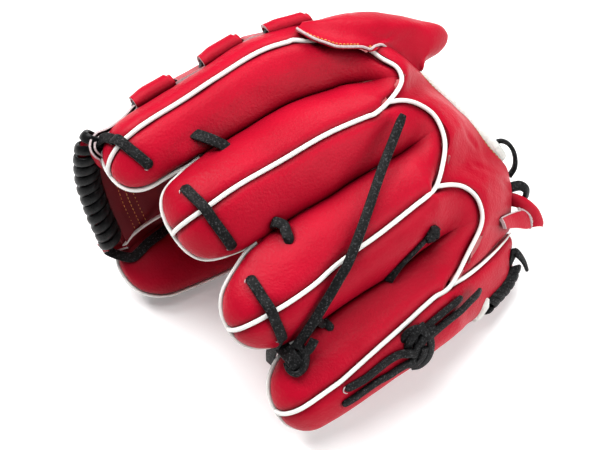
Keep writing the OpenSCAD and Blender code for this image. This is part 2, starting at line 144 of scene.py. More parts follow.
# red leather; its base colour carries painted shade down in the creases (ambient occlusion)
RED = leather("red_grain", (0.47, 0.0026, 0.021), (0.385, 0.002, 0.016), 0.40, gs=0.5, gd=0.0003, spec=0.10, painted_crease_shade=0.022)
# darker copy of the red leather for the thumb: painted shade, as the thumb lies in the shade under the fingers; its
# painted crease shade also reaches further
THUMB_PAINTED_SHADE_RED = leather("red_grain_painted_shade", (0.36, 0.0022, 0.017), (0.29, 0.0017, 0.013), 0.42, gs=0.5, gd=0.0003, spec=0.10, painted_crease_shade=0.03)
DARKRED = leather("dark_red_smooth", (0.17, 0.0022, 0.009), (0.12, 0.0015, 0.006), 0.5, grain=900, gs=0.2, spec=0.25)
WHITE = leather("white_welt", (0.86, 0.85, 0.82), (0.80, 0.785, 0.75), 0.5, grain=1100, gs=0.15, gd=0.00012)
TAN = leather("tan_lining", (0.42, 0.24, 0.12), (0.34, 0.18, 0.09), 0.62, grain=800, gs=0.2)
def lacemat(name, c0, c1, fleck, rough, gs=0.5):
    m, nt, b, co = nodes_of(name)
    n = tex(nt, co, "noise", 900, 5.0, Roughness=0.7)
    s = tex(nt, co, "noise", 2300, 2.0)
    nt.links.new(ramp(nt, n.outputs[0], [(0.38, c0), (0.55, c1), (0.68, fleck)]), b.inputs["Base Color"])
    b.inputs["Specular IOR Level"].default_value = 0.13
    nt.links.new(ramp(nt, s.outputs[0], [(0.3, (rough - 0.1,) * 3), (0.7, (rough + 0.12,) * 3)]), b.inputs["Roughness"])
    w = tex(nt, co, "noise", 160, 3.0)
    n1 = bump(nt, b, w.outputs[0], 0.3, 0.0008)
    bump(nt, b, n.outputs[0], gs, 0.0003, n1)
    return m
BLACK = lacemat("black_rawhide", (0.0020, 0.0020, 0.0022), (0.0065, 0.0065, 0.007), (0.080, 0.080, 0.083), 0.55, 0.6)
SHINY = lacemat("black_rawhide_rail", (0.002, 0.002, 0.0022), (0.004, 0.004, 0.0045), (0.012, 0.012, 0.012), 0.34, 0.25)
def fibre(name, c0, c1, scale, rough=0.9, gs=0.8, gd=0.0006, sheen=0.3):
    m, nt, b, co = nodes_of(name)
    n = tex(nt, co, "noise", scale, 6.0, Roughness=0.75)
    nt.links.new(ramp(nt, n.outputs[0], [(0.3, c0), (0.7, c1)]), b.inputs["Base Color"])
    b.inputs["Roughness"].default_value = rough
    b.inputs["Sheen Weight"].default_value = sheen
    bump(nt, b, n.outputs[0], gs, gd)
    return m
RAW = fibre("raw_edge", (0.34, 0.24, 0.25), (0.70, 0.60, 0.60), 1500, gs=0.5, gd=0.0003, sheen=0.0)
SUEDE = fibre("flesh_side", (0.34, 0.05, 0.06), (0.46, 0.10, 0.10), 700, gs=0.5, gd=0.0003, sheen=0.2)
FLEECE = fibre("fleece_pile", (0.84, 0.83, 0.76), (0.97, 0.97, 0.93), 1100, gs=1.0, gd=0.0012, sheen=0.5)
FELTM = fibre("wool_felt", (0.42, 0.39, 0.33), (0.60, 0.57, 0.50), 900, gs=0.8, gd=0.0006)
def thread(name, c0, c1):
    m, nt, b, co = nodes_of(name)
    n = tex(nt, co, "wave", 900, 1.0, bands_direction="DIAGONAL", Distortion=2.0)
    nt.links.new(ramp(nt, n.outputs[0], [(0.2, c0), (0.8, c1)]), b.inputs["Base Color"])
    b.inputs["Roughness"].default_value = 0.55
    bump(nt, b, n.outputs[0], 0.4, 0.0002)
    return m
ORANGE = thread("orange_thread", (0.62, 0.20, 0.03), (0.85, 0.36, 0.07))
REDTH = thread("red_thread", (0.40, 0.006, 0.02), (0.60, 0.02, 0.05))
PALETH = thread("pale_thread", (0.42, 0.36, 0.10), (0.62, 0.55, 0.24))

# ---------------------------------------------------------------- curves and grids
def cr(P, n):
    """n points along a rounded line through P, evenly spaced. P may hold rows of points."""
    P = np.asarray(P, float)
    if len(P) == 2: P = np.array([P[0], (P[0] + P[1]) / 2, P[1]])
    Q = np.concatenate([[2 * P[0] - P[1]], P, [2 * P[-1] - P[-2]]])
    out = []
    for i in range(1, len(Q) - 2):
        a, b, c, d = Q[i - 1], Q[i], Q[i + 1], Q[i + 2]
        for t in np.linspace(0, 1, 16, endpoint=False):
            out.append(0.5 * (2 * b + (c - a) * t + (2 * a - 5 * b + 4 * c - d) * t * t + (3 * b - a - 3 * c + d) * t ** 3))
    out.append(Q[-2]); out = np.array(out)
    F = out.reshape(len(out), -1)
    L = np.concatenate([[0], np.cumsum(np.linalg.norm(np.diff(F, axis=0), axis=1))])
    t = np.linspace(0, L[-1], n)
    R = np.stack([np.interp(t, L, F[:, k]) for k in range(F.shape[1])], 1)
    return R.reshape((n,) + out.shape[1:])
def length(P): return float(np.linalg.norm(np.diff(P, axis=0), axis=1).sum())
def unit(v): return v / np.maximum(np.linalg.norm(v, axis=-1, keepdims=True), 1e-9)
def tang(P):
    return unit(np.gradient(np.asarray(P, float), axis=0))
def smooth(t):
    t = np.clip(t, 0, 1); return t * t * (3 - 2 * t)
def gridn(G):
    a = np.gradient(G, axis=0); b = np.gradient(G, axis=1)
    n = np.cross(a, b); l = np.linalg.norm(n, axis=-1, keepdims=True)
    n = n / np.maximum(l, 1e-9)
    for i in range(len(G)):  # poles borrow the next row's mean
        bad = l[i, :, 0] < 1e-6
        if bad.any():
            j = min(i + 1, len(G) - 1) if i < len(G) / 2 else max(i - 1, 0)
            n[i, bad] = unit(n[j].mean(0))
    return n
def wob(P, s=1.0, seed=0.0):
    x, y, z = P[..., 0] + 17.3 * seed, P[..., 1] - 9.1 * seed, P[..., 2] + 4.7 * seed
    return (np.sin(x / (9.1 * s) + 1.3 * np.sin(y / (13.7 * s))) * np.cos(y / (11.3 * s) + 0.9 * np.sin(z / (8.3 * s)))
            + 0.5 * np.sin(z / (5.9 * s) + y / (6.7 * s)) * np.sin(x / (4.9 * s) - 0.7)) / 1.5
def dist(P, C):
    """distance of every point of P from the polyline through C (points taken close together)"""
    F = P.reshape(-1, 3); out = np.full(len(F), 1e9)
    for i in range(0, len(F), 4000):
        out[i:i + 4000] = np.sqrt(((F[i:i + 4000, None] - C[None]) ** 2).sum(-1)).min(1)
    return out.reshape(P.shape[:-1])

PARTS = []
def obj(name, V, F, mats, body, slot=None, reps=(), mi=None, sharp=35, blend=None):
    V = np.asarray(V, float)
    me = bpy.data.meshes.new(name)
    me.from_pydata(W(V).tolist(), [], [tuple(int(i) for i in f) for f in F])
    for m in mats: me.materials.append(m)
    if mi is not None: me.polygons.foreach_set("material_index", np.asarray(mi, np.int32))
    me.polygons.foreach_set("use_smooth", [True] * len(me.polygons))
    me.validate(); me.update()
    if sharp: me.set_sharp_from_angle(angle=math.radians(sharp))
    o = bpy.data.objects.new(name, me); sc.collection.objects.link(o)
    if reps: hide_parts(*reps)
    if blend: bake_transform(o)
    else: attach(o, body)
    return o

class Build:
    """collects vertices and faces of one piece"""
    def __init__(s): s.V, s.F, s.M, s.n = [], [], [], 0
    def add(s, V, F, m=0):
        V = np.asarray(V, float).reshape(-1, 3)
        F = [tuple(int(i) + s.n for i in f) for f in F]
        s.V.append(V); s.F += F
        s.M += [m] * len(F) if np.isscalar(m) else list(m)
        s.n += len(V)
        return s
    def sheet(s, G, t, away=None, toward=None, m=(0, 1, 2), closed=False, edge_round=0.0):
        """outer grid G with thickness t behind it; material slots for face, rim and back"""
        G = np.asarray(G, float); N = gridn(G)
        ref = A(*(away if away is not None else toward)); d = (G - ref) if away is not None else (ref - G)
        sg = 1 if (N * d).sum() > 0 else -1
        N = N * sg
        n, k = G.shape[:2]
        V = np.concatenate([G.reshape(-1, 3), (G - N * t).reshape(-1, 3)]); o = n * k
        F, M = [], []
        kk = k if closed else k - 1
        for i in range(n - 1):
            for j in range(kk):
                a, b = i * k + j, i * k + (j + 1) % k
                q = (a, b, b + k, a + k) if sg > 0 else (a, a + k, b + k, b)
                F += [q[::-1], tuple(x + o for x in q)]; M += [m[0], m[2]]
        ring = []
        if closed:
            for r in (0, n - 1):
                ring += [(r * k + j, r * k + (j + 1) % k) for j in range(k)]
        else:
            ring += [(j, j + 1) for j in range(k - 1)] + [((i * k + k - 1), (i + 1) * k + k - 1) for i in range(n - 1)]
            ring += [((n - 1) * k + j + 1, (n - 1) * k + j) for j in range(k - 1)][::-1] + [((i + 1) * k, i * k) for i in range(n - 1)][::-1]
        # rim faces join the outer and inner grids, sharing their vertices
        for a, b in ring:
            F.append((a, b, b + o, a + o)); M.append(m[1])
        s.add(V, F, M)
        return s
    def tube(s, P, r, k=10, m=0, squash=1.0, N=None):
        P = np.asarray(P, float); T = tang(P); n = len(P)
        r = np.broadcast_to(np.asarray(r, float), (n,))
        u = np.zeros((n, 3)); a = np.cross(T[0], [0, 0, 1.0])
        if np.linalg.norm(a) < 0.1: a = np.cross(T[0], [1.0, 0, 0])
        for i in range(n):
            a = unit(a - T[i] * a.dot(T[i])); u[i] = a
        v = np.cross(T, u)
        an = np.linspace(0, 2 * np.pi, k, endpoint=False)
        R = P[:, None] + r[:, None, None] * (np.cos(an)[None, :, None] * u[:, None] + squash * np.sin(an)[None, :, None] * v[:, None])
        V = np.concatenate([R.reshape(-1, 3), P[:1] - T[:1] * r[0] * 0.35, P[-1:] + T[-1:] * r[-1] * 0.35])
        F = [(i * k + j, i * k + (j + 1) % k, (i + 1) * k + (j + 1) % k, (i + 1) * k + j) for i in range(n - 1) for j in range(k)]
        F += [(n * k, (j + 1) % k, j) for j in range(k)] + [(n * k + 1, (n - 1) * k + j, (n - 1) * k + (j + 1) % k) for j in range(k)]
        return s.add(V, F, m)
    def strip(s, P, N, w=6.0, t=2.4, m=0, k=14, e=0.55, taper=None):
        """flat lace along P, its flat side square to N, with rounded edges"""
        P = np.asarray(P, float); T = tang(P); N = np.broadcast_to(np.asarray(N, float), P.shape)
        N = unit(N - T * (N * T).sum(-1, keepdims=True)); S = np.cross(T, N)
        an = np.linspace(0, 2 * np.pi, k, endpoint=False)
        c = np.sign(np.cos(an)) * np.abs(np.cos(an)) ** e; q = np.sign(np.sin(an)) * np.abs(np.sin(an)) ** e
        n = len(P); w = np.broadcast_to(np.asarray(w, float), (n,)); t = np.broadcast_to(np.asarray(t, float), (n,))
        R = P[:, None] + (w / 2)[:, None, None] * c[None, :, None] * S[:, None] + (t / 2)[:, None, None] * q[None, :, None] * N[:, None]
        V = np.concatenate([R.reshape(-1, 3), P[:1], P[-1:]])
        F = [(i * k + j, i * k + (j + 1) % k, (i + 1) * k + (j + 1) % k, (i + 1) * k + j) for i in range(n - 1) for j in range(k)]
        F += [(n * k, (j + 1) % k, j) for j in range(k)] + [(n * k + 1, (n - 1) * k + j, (n - 1) * k + (j + 1) % k) for j in range(k)]
        return s.add(V, F, m)
    def ring(s, c, n, r, thick, m=0, stretch=1.0, u=None):
        """raw rim of a lace hole, lying on a surface with normal n"""
        n = unit(A(*n)); u = unit(np.cross(n, [0, 0, 1.0]) if u is None else A(*u)); v = np.cross(n, u)
        an = np.linspace(0, 2 * np.pi, 25)
        P = np.array([A(*c) + r * (math.cos(q) * u * stretch + math.sin(q) * v) for q in an])
        return s.tube(P, thick, 6, m)
    def stitches(s, P, N, L=2.6, gap=1.3, r=0.32, m=0, lift=0.25):
        P = np.asarray(P, float); tot = length(P); n = max(1, int(tot / (L + gap)))
        D = np.concatenate([[0], np.cumsum(np.linalg.norm(np.diff(P, axis=0), axis=1))])
        N = np.broadcast_to(np.asarray(N, float), P.shape)
        def at(x, Q): return np.array([np.interp(x, D, Q[:, i]) for i in range(3)])
        for i in range(n):
            x0 = (i + 0.15) * tot / n; x1 = x0 + L
            if x1 > tot: break
            a, b, nn = at(x0, P), at(x1, P), unit(at((x0 + x1) / 2, N)); mid = at((x0 + x1) / 2, P)
            s.tube([a - nn * 0.25, a + nn * lift * 0.6, mid + nn * (lift + 0.1), b + nn * lift * 0.6, b - nn * 0.25], [r * 0.5, r, r * 1.05, r, r * 0.5], 6, m)
        return s
    def make(s, name, mats, body, slot=None, reps=(), **kw):
        return obj(name, np.concatenate(s.V), s.F, mats, body, slot, reps, s.M, **kw)

# ---------------------------------------------------------------- finger stalls, as in part.scad
BACK, PALMD = 17.0, 12.0
MID = [
    [[-64, 77, -31, 22], [-40, 82.5, -26, 21.5], [-8, 83, -24, 20.5], [17, 82, -23, 20.5], [37, 82, -24, 20.5], [68.5, 79.5, -28.5, 21.5]],
    [[-76, 27, -20, 22.5], [-40, 32, -12, 25], [-7, 33, -9, 25], [21, 34, -9, 25], [42, 33, -11, 24], [58.5, 33, -16, 25.5]],
    [[-74, -21, -19, 23], [-55, -22, -14, 24.5], [-24, -23, -9, 25], [-1, -22, -8, 25], [22, -24, -9, 24.5], [61, -26.5, -14.5, 20.5]],
    [[-52, -76, -33, 24.5], [-35, -77, -31, 24.5], [3, -77, -28, 24.5], [40, -78, -30, 23.5], [61, -79.5, -34, 20.5]],
    [[-72, 25, -125, 25], [-30, 22, -118, 25], [20, 23, -110, 24], [55, 27, -104.5, 23], [86, 31, -100, 21]]]
MID = [np.array(m, float) for m in MID]
ROLL = [-18, -5, 7, 13, 180]
SEAM = [13, 0, -3, 2, 0]
SE = [92, 104, 104, 104, 92]
def seam(k, y):
    """angle of the centre seam of stall k at y"""
    if k == 2: return np.interp(y, [-60, -20, 10, 30, 52], [-3, -6, -14, -12, -7])
    if k == 3: return np.interp(y, [-50, -35, 25, 52], [15, 13, -6, -6])
    return SEAM[k] + 0.0 * np.asarray(y, float)
CAP = [24, 18, 19, 17.5, 24]
YB = [m[0, 0] for m in MID]
YT = [m[-1, 0] for m in MID]
def midl(k, y):
    T = MID[k]; Y = T[:, 0]; V = T[:, 1:]; y = np.clip(np.asarray(y, float), Y[0], Y[-1])
    D = np.gradient(V, Y, axis=0)
    i = np.clip(np.searchsorted(Y, y, side="right") - 1, 0, len(Y) - 2)
    h = (Y[i + 1] - Y[i]); t = ((y - Y[i]) / h)[..., None]; h = h[..., None]
    return (2 * t ** 3 - 3 * t * t + 1) * V[i] + (t ** 3 - 2 * t * t + t) * h * D[i] + (3 * t * t - 2 * t ** 3) * V[i + 1] + (t ** 3 - t * t) * h * D[i + 1]
def gs(k, y):
    u = np.clip((np.asarray(y, float) - YT[k] + CAP[k]) / CAP[k], 0, 1); return np.maximum(0.0, 1 - u ** 2.3) ** (1 / 2.3)
def fp0(k, y, th, off=0.0, s=None):
    y, th = np.broadcast_arrays(np.asarray(y, float), np.asarray(th, float))
    m = midl(k, y); s = gs(k, y) if s is None else np.broadcast_to(s, y.shape)
    off = np.broadcast_to(off, y.shape); r = math.radians(ROLL[k]); t = np.radians(th)
    a = (m[..., 2] + off) * s * np.sin(t)
    h = (np.where(np.abs(th) > 90, PALMD, BACK) + off) * s * np.cos(t)
    return np.stack([m[..., 0] + a * math.cos(r) - h * math.sin(r), y + np.where(s < 1, off * 0.9 * (1 - s), 0), m[..., 1] + a * math.sin(r) + h * math.cos(r)], -1)
def fp(k, y, th, off=0.0, s=None):
    """point on stall k; neighbouring stalls are drawn together so that they touch in the creases"""
    y, th = np.broadcast_arrays(np.asarray(y, float), np.asarray(th, float))
    P = fp0(k, y, th, off, s)
    if k > 3: return P
    t = (th + 180) % 360 - 180
    w = np.where(np.abs(t) <= 91, smooth((np.abs(t) - 38) / 53), smooth((150 - np.abs(t)) / 59))
    for sg, q in ((-1, k + 1), (1, k - 1)):
        if not 0 <= q <= 3: continue
        one = np.ones(y.shape)
        D = (fp0(q, y, -91.0 * sg * one, 0, one) - fp0(k, y, 91.0 * sg * one, 0, one)) / 2
        f = 1 - smooth((y - (min(YT[k], YT[q]) - 34)) / 26)
        P = P + np.where((t * sg > 0)[..., None], D * (w * f)[..., None], 0)
    return P
def ends(P, w, a=True, c=True):
    """width of a flat lace whose ends are rounded off"""
    D = np.concatenate([[0], np.cumsum(np.linalg.norm(np.diff(P, axis=0), axis=1))]); e = np.full(len(P), 1e9); r = np.max(w) / 2
    if a: e = np.minimum(e, D)
    if c: e = np.minimum(e, D[-1] - D)
    return w * np.sqrt(np.maximum(1 - np.maximum(0, 1 - e / r) ** 2, 0.03))
def fn(k, y, th):
    return unit(fp(k, y, th, 4) - fp(k, y, th, 0))
def caprows(k, n):
    t = np.linspace(np.pi / 2, 0, n, endpoint=False)
    return YT[k] - CAP[k] + CAP[k] * np.sin(t) ** (2 / 2.3), np.cos(t) ** (2 / 2.3)
def half(k, th, yb, n=54, nc=20, w=None):
    """rows from the tip to yb of the columns th; w says how much each column follows the centre seam"""
    yc, s = caprows(k, nc); w = 0 * th if w is None else w
    top = fp(k, yc[:, None], th[None] + w[None] * (seam(k, yc) - SEAM[k])[:, None], 0, s[:, None] * np.ones(len(th)))
    r = np.linspace(0, 1, n)[:, None]
    Y = (YT[k] - CAP[k]) * (1 - r) + r * yb[None]
    return np.concatenate([top, fp(k, Y, th[None] + w[None] * (seam(k, Y) - SEAM[k]))])
def onto(G, target, n=20, pull=0.9, end=0.6):
    """goes on from the grid's last row to the row target, leaving smoothly"""
    P0, P1 = G[-1], target; L = np.linalg.norm(P1 - P0, axis=-1, keepdims=True)
    T0 = unit(G[-1] - G[-3]) * L * pull; T1 = (P1 - P0) * end
    t = np.linspace(0, 1, n + 1)[1:, None, None]
    H = (2 * t ** 3 - 3 * t * t + 1) * P0 + (t ** 3 - 2 * t * t + t) * T0 + (3 * t * t - 2 * t ** 3) * P1 + (t ** 3 - t * t) * T1
    return np.concatenate([G, H])

ARC2 = A([62, -92, -21], [54, -95, -20], [46, -98.5, -17.5], [39.5, -97.5, -16], [35, -92, -13], [31, -80, -8])
ARC3 = A([31, -80, -8], [27.5, -89.5, -12], [21, -97, -15], [10, -102, -17], [-4, -99, -17], [-15, -89, -14], [-23, -77, -8])
ARC4 = A([-23, -77, -8], [-27, -87, -13], [-33, -95, -19], [-43, -99, -24], [-55, -94.5, -27], [-65, -78, -27], [-74.5, -57, -21])
ARC5 = A([-75, -60, -22], [-76, -76, -32], [-75, -96, -46], [-72, -118, -60])

# seams that carry piping, as lines on the leather
def centre(k, foot):
    y = np.concatenate([np.linspace(YB[k] + 6, YT[k] - CAP[k], 24), caprows(k, 10)[0][::-1][1:]])
    return cr(np.concatenate([foot, fp(k, y, seam(k, y))]), 260)
C0 = centre(0, A([80, -70, -19]))
C1 = centre(1, ARC2 + A(0, -1, 1))
C2 = centre(2, ARC3 + A(0, -1, 1))
C3 = centre(3, ARC4 + A(0, -1, 1))
for C in (C2, C3):
    for _ in range(10): C[1:-1] = (C[:-2] + 2 * C[1:-1] + C[2:]) / 4
C5 = cr(A([-74.4, -59.5, -21.4], [-75.6, -71, -28.6], [-75.8, -84, -37], [-75, -98.6, -46.4], [-73.5, -111, -54.4], [-72, -118.4, -59.6]), 80)
def edge(k, ya, yb, th=92.0):
    yc = caprows(k, 12)[0]
    y1 = np.arange(ya, YT[k] - CAP[k], 8.0); y2 = np.arange(yb, YT[k] - CAP[k], 8.0)[::-1]
    a = [fp(k, y, th) for y in y1] + [fp(k, y, th) for y in yc[::-1]][:-1]
    b = [fp(k, y, -SE[k]) for y in yc][1:] + [fp(k, y, -SE[k]) for y in y2]
    return cr(np.array(a + [fp(k, YT[k], 0.0)] + b), 260)
E = [edge(0, 24, 24), edge(1, 24, 24), edge(2, 24, 24), edge(3, 24, -46), edge(4, -40, 10)]
GROOVES = [(c, 1.5, 2.6) for c in (C0, C1, C2, C3, C5)] + [(c, 1.3, 2.4) for c in E]
DIMPLES = []
WRINKLES = []
def relief(G, away=None, toward=None, grooves=None, wobble=0.35, seed=0.0):
    N = gridn(G); ref = A(*(away if away is not None else toward)); d = (G - ref) if away is not None else (ref - G)
    N = N * (1 if (N * d).sum() > 0 else -1)
    h = wobble * wob(G, 1.0, seed) + 0.35 * wobble * wob(G, 0.42, seed + 3)
    for c, dep, rad in (GROOVES if grooves is None else grooves):
        q = dist(G, c)
        h = h - dep * np.exp(-(q / rad) ** 2) + 0.35 * np.exp(-((q - 7) / 4.5) ** 2)
    for c, dep, rad in DIMPLES:
        h = h - dep * np.exp(-(np.linalg.norm(G - c, axis=-1) / rad) ** 2)
    for c, dep, rad in WRINKLES:
        q = dist(G, c); h = h - dep * np.exp(-(q / rad) ** 2) + 0.4 * dep * np.exp(-((q - 2.4 * rad) / (1.3 * rad)) ** 2)
    return G + N * h[..., None]

# ---------------------------------------------------------------- the free lace end first
LOOSE = A(*[[-54.2, 36.8, -6.5], [-51.6, 31.1, -3.6], [-49, 25.5, -0.4], [-45.4, 18.5, 3.4], [-40.1, 8.6, 8], [-34.6, -1.1, 12.5], [-30.2, -8.7, 14.6], [-17.1, -27.3, 14.2], [0.5, -51.1, 11], [12.2, -68.5, 8], [20.2, -80.9, 5]])
lp = cr(LOOSE, 90)
b = Build()
_t = np.linspace(0, 1, 90)[:, None]
_nn = unit(A(-0.1, 0.2, 1.0) + 0.35 * np.sin(2.2 * np.pi * _t) * A(-0.6, -0.5, 0))
b.strip(lp, _nn, np.interp(_t[:, 0], [0, 0.97, 1], [5.8, 5.4, 4.0]), 2.4, e=0.6)
cord = b.make("loose_lace_end", [BLACK], "hand", "black_lace", ["loose_lace"])

# ---------------------------------------------------------------- leather panels of the finger group
LEATHER = [RED, RAW, SUEDE]
MN = 30
def split(arc, n=2 * MN): return cr(arc, n)
def lh(k, side, yc):
    """columns of half stall k from its centre seam to the crease on that side"""
    t = np.linspace(0, 1, MN); th = SEAM[k] + ((92.0 if side > 0 else -SE[k]) - SEAM[k]) * t
    yb = YB[k] + 1.5 + (yc - YB[k] - 1.5) * smooth(t)
    return half(k, th, yb, w=1 - t)
YC = {(0, 1): -66, (1, 2): -72, (2, 3): -60}
def two(name, k, arc, away, seed):
    arc = split(arc); q = k + 1
    b = Build()
    L = onto(lh(k, -1, YC[(k, q)]), arc[:MN]); R = onto(lh(q, 1, YC[(k, q)]), arc[MN:][::-1])
    D = (R[-26:, -1] - L[-26:, -1]) / 2 * smooth(np.arange(26) / 6.0)[:, None]; w = smooth((np.arange(MN) - MN + 9) / 8.0)
    L[-26:] += D[:, None] * w[None, :, None]; R[-26:] -= D[:, None] * w[None, :, None]
    b.sheet(relief(L, away=away, seed=seed), 2.4, away=away)
    b.sheet(relief(R, away=away, seed=seed + 1), 2.4, away=away)
    return b.make(name, [RED, RED, SUEDE], "hand", "red_leather", [name])
two("index_middle_panel", 0, ARC2, (57, -20, -60), 1)
two("middle_ring_panel", 1, ARC3, (5, -20, -60), 2)
two("ring_little_panel", 2, ARC4, (-50, -20, -60), 3)
b = Build()
IO = cr(A([64, -96, -22], [72, -96, -23], [80, -94, -27], [86, -92, -33], [91, -88, -40], [93, -82, -47]), MN)
b.sheet(relief(onto(lh(0, 1, YB[0]), IO), away=(60, -20, -50), seed=4), 2.4, away=(60, -20, -50))
b.make("index_outer_panel", [RED, RED, SUEDE], "hand", "red_leather", ["index_outer_panel"])
def along(G, rows, n):
    """goes on from grid G through several rows, rounded"""
    K = np.stack([G[-8], G[-1]] + [cr(r, G.shape[1]) if len(r) != G.shape[1] else r for r in rows])
    Q = cr(K, n * len(K) + 1)
    s = np.linalg.norm(Q - G[-1], axis=-1).mean(1).argmin()
    return np.concatenate([G, Q[s + 1:]])
b = Build()
LO = along(lh(3, -1, YB[3]), [
    A([-75.8, -62.5, -23.2], [-83, -62.5, -24.5], [-90, -62.5, -29.5], [-97, -63, -38], [-101, -64, -49], [-102.5, -65, -62]),
    A([-76.2, -76, -32], [-83.5, -76, -34], [-91, -76, -40], [-97.5, -77, -49], [-101.5, -78, -59], [-103.5, -79, -71]),
    A(*[[-75.1, -96, -45.8], [-80.9, -98.1, -49], [-87, -99.6, -54], [-92.7, -100.8, -61], [-97.6, -101.8, -70], [-100.5, -101.9, -79]]),
    A(*[[-72.2, -118.1, -60], [-77.2, -117, -63], [-82, -114.9, -66], [-86.9, -113.3, -71], [-91.5, -112.6, -78], [-94.2, -112, -84]])], 14)
b.sheet(relief(LO, away=(-75, -50, -60), seed=5), 2.4, away=(-75, -50, -60))
b.make("little_outer_panel", [RED, RED, SUEDE], "hand", "red_leather", ["little_outer_panel"])
for k, nm in enumerate(("index", "middle", "ring", "little")):
    th = np.linspace(92, 360 - SE[k], 44); b = Build()
    G = half(k, th, np.full(44, YB[k] + 12.0), n=44)
    m = midl(k, 0.0)
    b.sheet(relief(G, away=(m[0], 0, m[1] + 10), seed=6 + k), 2.2, away=(m[0], 0, m[1] + 10))
    b.make(nm + "_front", LEATHER, "hand", "red_leather", [nm + "_front"])

# back of the hand, below the knuckle seams
TOP = A([62, -94, -19], [52, -99, -17], [44, -101.5, -17], [37, -96, -15], [31, -83, -10], [27, -93, -14], [20, -101, -16], [8, -105, -17], [-4, -104.5, -17.5], [-14, -93, -15], [-23, -80, -10], [-28, -90, -15], [-34, -99, -20], [-42, -102, -23], [-56, -97, -27], [-66, -80, -28], [-74, -62, -24])
LOW = A([54, -109.5, -33], [44.3, -114.8, -37], [37.1, -118.8, -41], [25.4, -122.5, -44], [14.6, -126.2, -46], [1.9, -130.2, -48], [-8.7, -132.5, -50], [-19.9, -133.6, -52], [-32.1, -136.7, -55], [-40, -137, -56.5], [-51, -132, -57], [-61, -126, -58], [-72, -118.5, -60])
bt, bl = cr(TOP, 90), cr(LOW, 90)
t = np.linspace(0, 1, 34)[:, None, None]
BP = bt * (1 - t) + bl * t + 4 * t * (1 - t) * A(0, -1.5, 3.0)
w0 = 1 - smooth(np.arange(90) / 9.0); BP = BP + (np.sin(np.pi * t) ** 0.8 * w0[None, :, None]) * A(3.4, 0.6, -1.0)
a5 = cr(ARC5 + A(0.8, -0.8, 0.2), 34); w5 = smooth((np.arange(90) - 72) / 17)
BP = BP + w5[None, :, None] * (a5 - BP[:, -1])[:, None]
tk = bt + A(0, 4.5, -3.0); BP = np.concatenate([np.stack([tk * (1 - q) + BP[0] * q for q in (0.0, 0.3, 0.6, 0.85)]), BP])
WR = [(cr(A([20, -109, -28], [6, -114, -30], [-6, -118, -33], [-16, -122, -38]), 60), 0.8, 1.9),
      (cr(A([-26, -112, -32], [-36, -120, -39], [-44, -126, -46], [-48, -129, -53]), 60), 0.8, 2.0)]
WRINKLES += WR
b = Build(); b.sheet(relief(BP, away=(-5, -70, -70), wobble=0.5, seed=11), 2.6, away=(-5, -70, -70))
b.make("back_panel", [RED, RED, SUEDE], "hand", "red_leather", ["back_panel"])
WRINKLES.clear()

# ---------------------------------------------------------------- piping
def pipe(name, C, away, r=1.28, lift=0.3, body="hand", ends=True, mat=WHITE):
    N = unit(C - A(*away) - tang(C) * ((C - A(*away)) * tang(C)).sum(-1, keepdims=True))
    rr = np.full(len(C), r) if np.ndim(r) == 0 else np.interp(np.linspace(0, 1, len(C)), np.linspace(0, 1, len(r)), r)
    b = Build(); b.tube(C + N * lift, rr, 10)
    return b.make(name, [mat], body, "white_piping", [name])
pipe("index_piping", C0, (70, -20, -50))
pipe("middle_piping", C1, (33, -40, -50))
pipe("ring_piping", C2, (-22, -40, -50))
pipe("little_piping", C3, (-60, -40, -60))
pipe("heel_piping", C5, (-55, -80, -70), r=(1.25, 1.2, 1.0, 0.7, 0.45))
for k, nm in enumerate(("index", "middle", "ring", "little")):
    m = midl(k, 30.0)
    pipe(nm + "_edge_piping", E[k], (m[0], 10, m[1]), r=1.12, lift=0.3)
pipe("thumb_edge_piping", E[4], (24, 10, -108), r=1.0, lift=0.25, body="thumb_web")

# ---------------------------------------------------------------- lace over the fingertips
def over(k, a, c, n=110, hump=3.2, w=6.0, t=2.3, plunge=1.1):
    q = np.linspace(0, 1, n)[:, None]; a, c = A(*a), A(*c); Q = a * (1 - q) + c * q
    P = fp(k, Q[:, 0], Q[:, 1], t / 2); D = np.concatenate([[0], np.cumsum(np.linalg.norm(np.diff(P, axis=0), axis=1))]); e = np.minimum(D, D[-1] - D)
    h = np.abs(Q[:, 1] - SEAM[k]); off = t / 2 + 0.05 + np.where(h < 22, hump * (0.5 + 0.5 * np.cos(np.pi * h / 22)), 0) - plunge * np.exp(-(e / 1.8) ** 2)
    return fp(k, Q[:, 0], Q[:, 1], off), fn(k, Q[:, 0], Q[:, 1])
b = Build(); holes = []
for k, a, c in ((0, (58.6, 34), (49.6, -49)), (1, (42.6, 44), (37.2, -71)), (2, (39.2, 50), (41.2, -63))):
    P, N = over(k, a, c); b.strip(P, N, ends(P, 6.0), k=18)
    D = np.concatenate([[0], np.cumsum(np.linalg.norm(np.diff(P, axis=0), axis=1))])
    for i, sg in ((int(np.argmin(abs(D - 2.6))), -1), (int(np.argmin(abs(D[-1] - D - 2.6))), 1)):
        if not (k == 0 and sg == -1): holes.append((P[i] - N[i] * 1.15, N[i], tang(P)[i] * sg))
fl = b.make("finger_lace", [BLACK], "hand", "black_lace", ["finger_lace"])
b = Build()
for c, n, d in holes:
    u = unit(np.cross(n, d)); an = np.linspace(-1.35, 1.35, 19)
    P = np.array([c - n * 0.3 * math.cos(q) + 3.45 * math.sin(q) * u + 3.5 * math.cos(q) * d for q in an])
    b.tube(P, np.concatenate([[0.1], 0.2 + 0.42 * np.sin(np.linspace(0.2, np.pi - 0.2, 17)), [0.1]]), 6)
b.make("lace_holes", [RAW], "hand", "red_leather")

